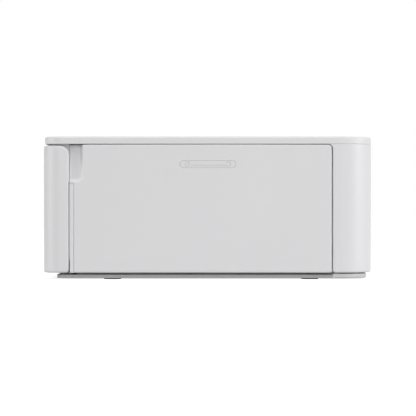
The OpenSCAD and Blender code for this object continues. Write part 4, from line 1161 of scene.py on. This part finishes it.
def softened(node, width):
    """A piece that copies a CAD node with its edges rounded by width millimetres."""
    bm = from_mesh(frame["nodes"][node].data, merge=True)
    bmesh.ops.dissolve_limit(bm, angle_limit=radians(1), verts=bm.verts, edges=bm.edges)
    obj = stand_in(bm, node, OTHER_FINISH.get(node))
    if width:
        bevel = obj.modifiers.new("soft edges", "BEVEL")
        bevel.width, bevel.segments = width * MM, 2
        bevel.limit_method, bevel.angle_limit = "ANGLE", radians(35)
        obj.modifiers.move(1, 0)


for node in sorted(frame["nodes"]):
    if not frame["nodes"][node].hide_render:
        softened(node, SOFT_EDGE.get(node, PLAIN_EDGE))

# %% [markdown]
# ## Stage
# The printer stands on a wide white floor under an even sky. The floor is seen almost edge-on, so
# it would look grey. For rays that the camera sees, straight, mirrored or through something clear,
# floor and sky shine more than they light the printer. That makes them white and keeps the soft
# shadow below.

# %% Floor and surroundings
FLOOR_GLOW, WORLD_LIGHT, FLOOR_HALF = 0.80, 0.20, 6


def white_floor():
    finish = Finish("white_floor", roughness=0.9, base_color=(0.55, 0.55, 0.55))
    strength = finish.seen_rays() * FLOOR_GLOW
    glow = finish.node("Emission", {"Color": (1, 1, 1), "Strength": strength})
    finish.feed(finish.surface, finish.node("AddShader", {0: finish.shader, 1: glow}))
    return finish.material


floor_mesh = bmesh.new()
bmesh.ops.create_grid(floor_mesh, x_segments=1, y_segments=1, size=FLOOR_HALF)
floor = temporary(floor_mesh)
floor.name = "floor"
floor.data.materials.append(white_floor())
world = bpy.data.worlds.new("studio")
bpy.context.scene.world = world
world.use_nodes = True
sky = Graph(world.node_tree)
background = sky.tree.nodes["Background"].inputs
sky.feed(background["Color"], (1, 1, 1))
sky.feed(background["Strength"],
         sky.node("MapRange", {"Value": sky.seen_rays(), "To Min": WORLD_LIGHT, "To Max": 1}))
print("floor: %d m wide" % (2 * FLOOR_HALF))

# %% [markdown]
# ## Lamps
# A large soft lamp hangs above, as in a light tent. The others stand behind the printer, in front
# of it and on the camera's side. All are a little to its right, so that the rounded front and rear
# corners catch a light of their own.

# %% Soft lamps
LAMPS = {"top_lamp": ((0.35, 0.0, 1.25), 1.2, 7), "rear_lamp": ((0.40, 1.30, 0.4), 0.6, 8.7),
         "front_lamp": ((0.5, -1.5, 0.35), 0.8, 9.0), "side_lamp": ((1.6, 0.35, 0.5), 1.0, 7.4)}
AIM = Vector((0, 0, 0.03))
for name, (at, size, power) in LAMPS.items():
    lamp = bpy.data.lights.new(name, "AREA")
    lamp.shape, lamp.size, lamp.energy = "SQUARE", size, power
    obj = linked(name, lamp)
    obj.location = at
    obj.rotation_euler = (AIM - Vector(at)).to_track_quat("-Z", "Y").to_euler()
print("lamps:", len(LAMPS))

# %% [markdown]
# ## Camera
# The camera looks straight at the right side with a long lens, from half the height of the printer,
# so the near face shows flat and neither top nor underside is seen.

# %% Long lens on the right side
camera = linked("camera", bpy.data.cameras.new("camera"))
camera.location = (1.041, 0.0, 0.0288)
camera.rotation_euler = (radians(90), 0, radians(90))
camera.data.sensor_width, camera.data.lens = 36, 204.2
bpy.context.scene.camera = camera
bpy.context.scene.view_settings.view_transform = "Standard"
print("lens: %.1f mm" % camera.data.lens)
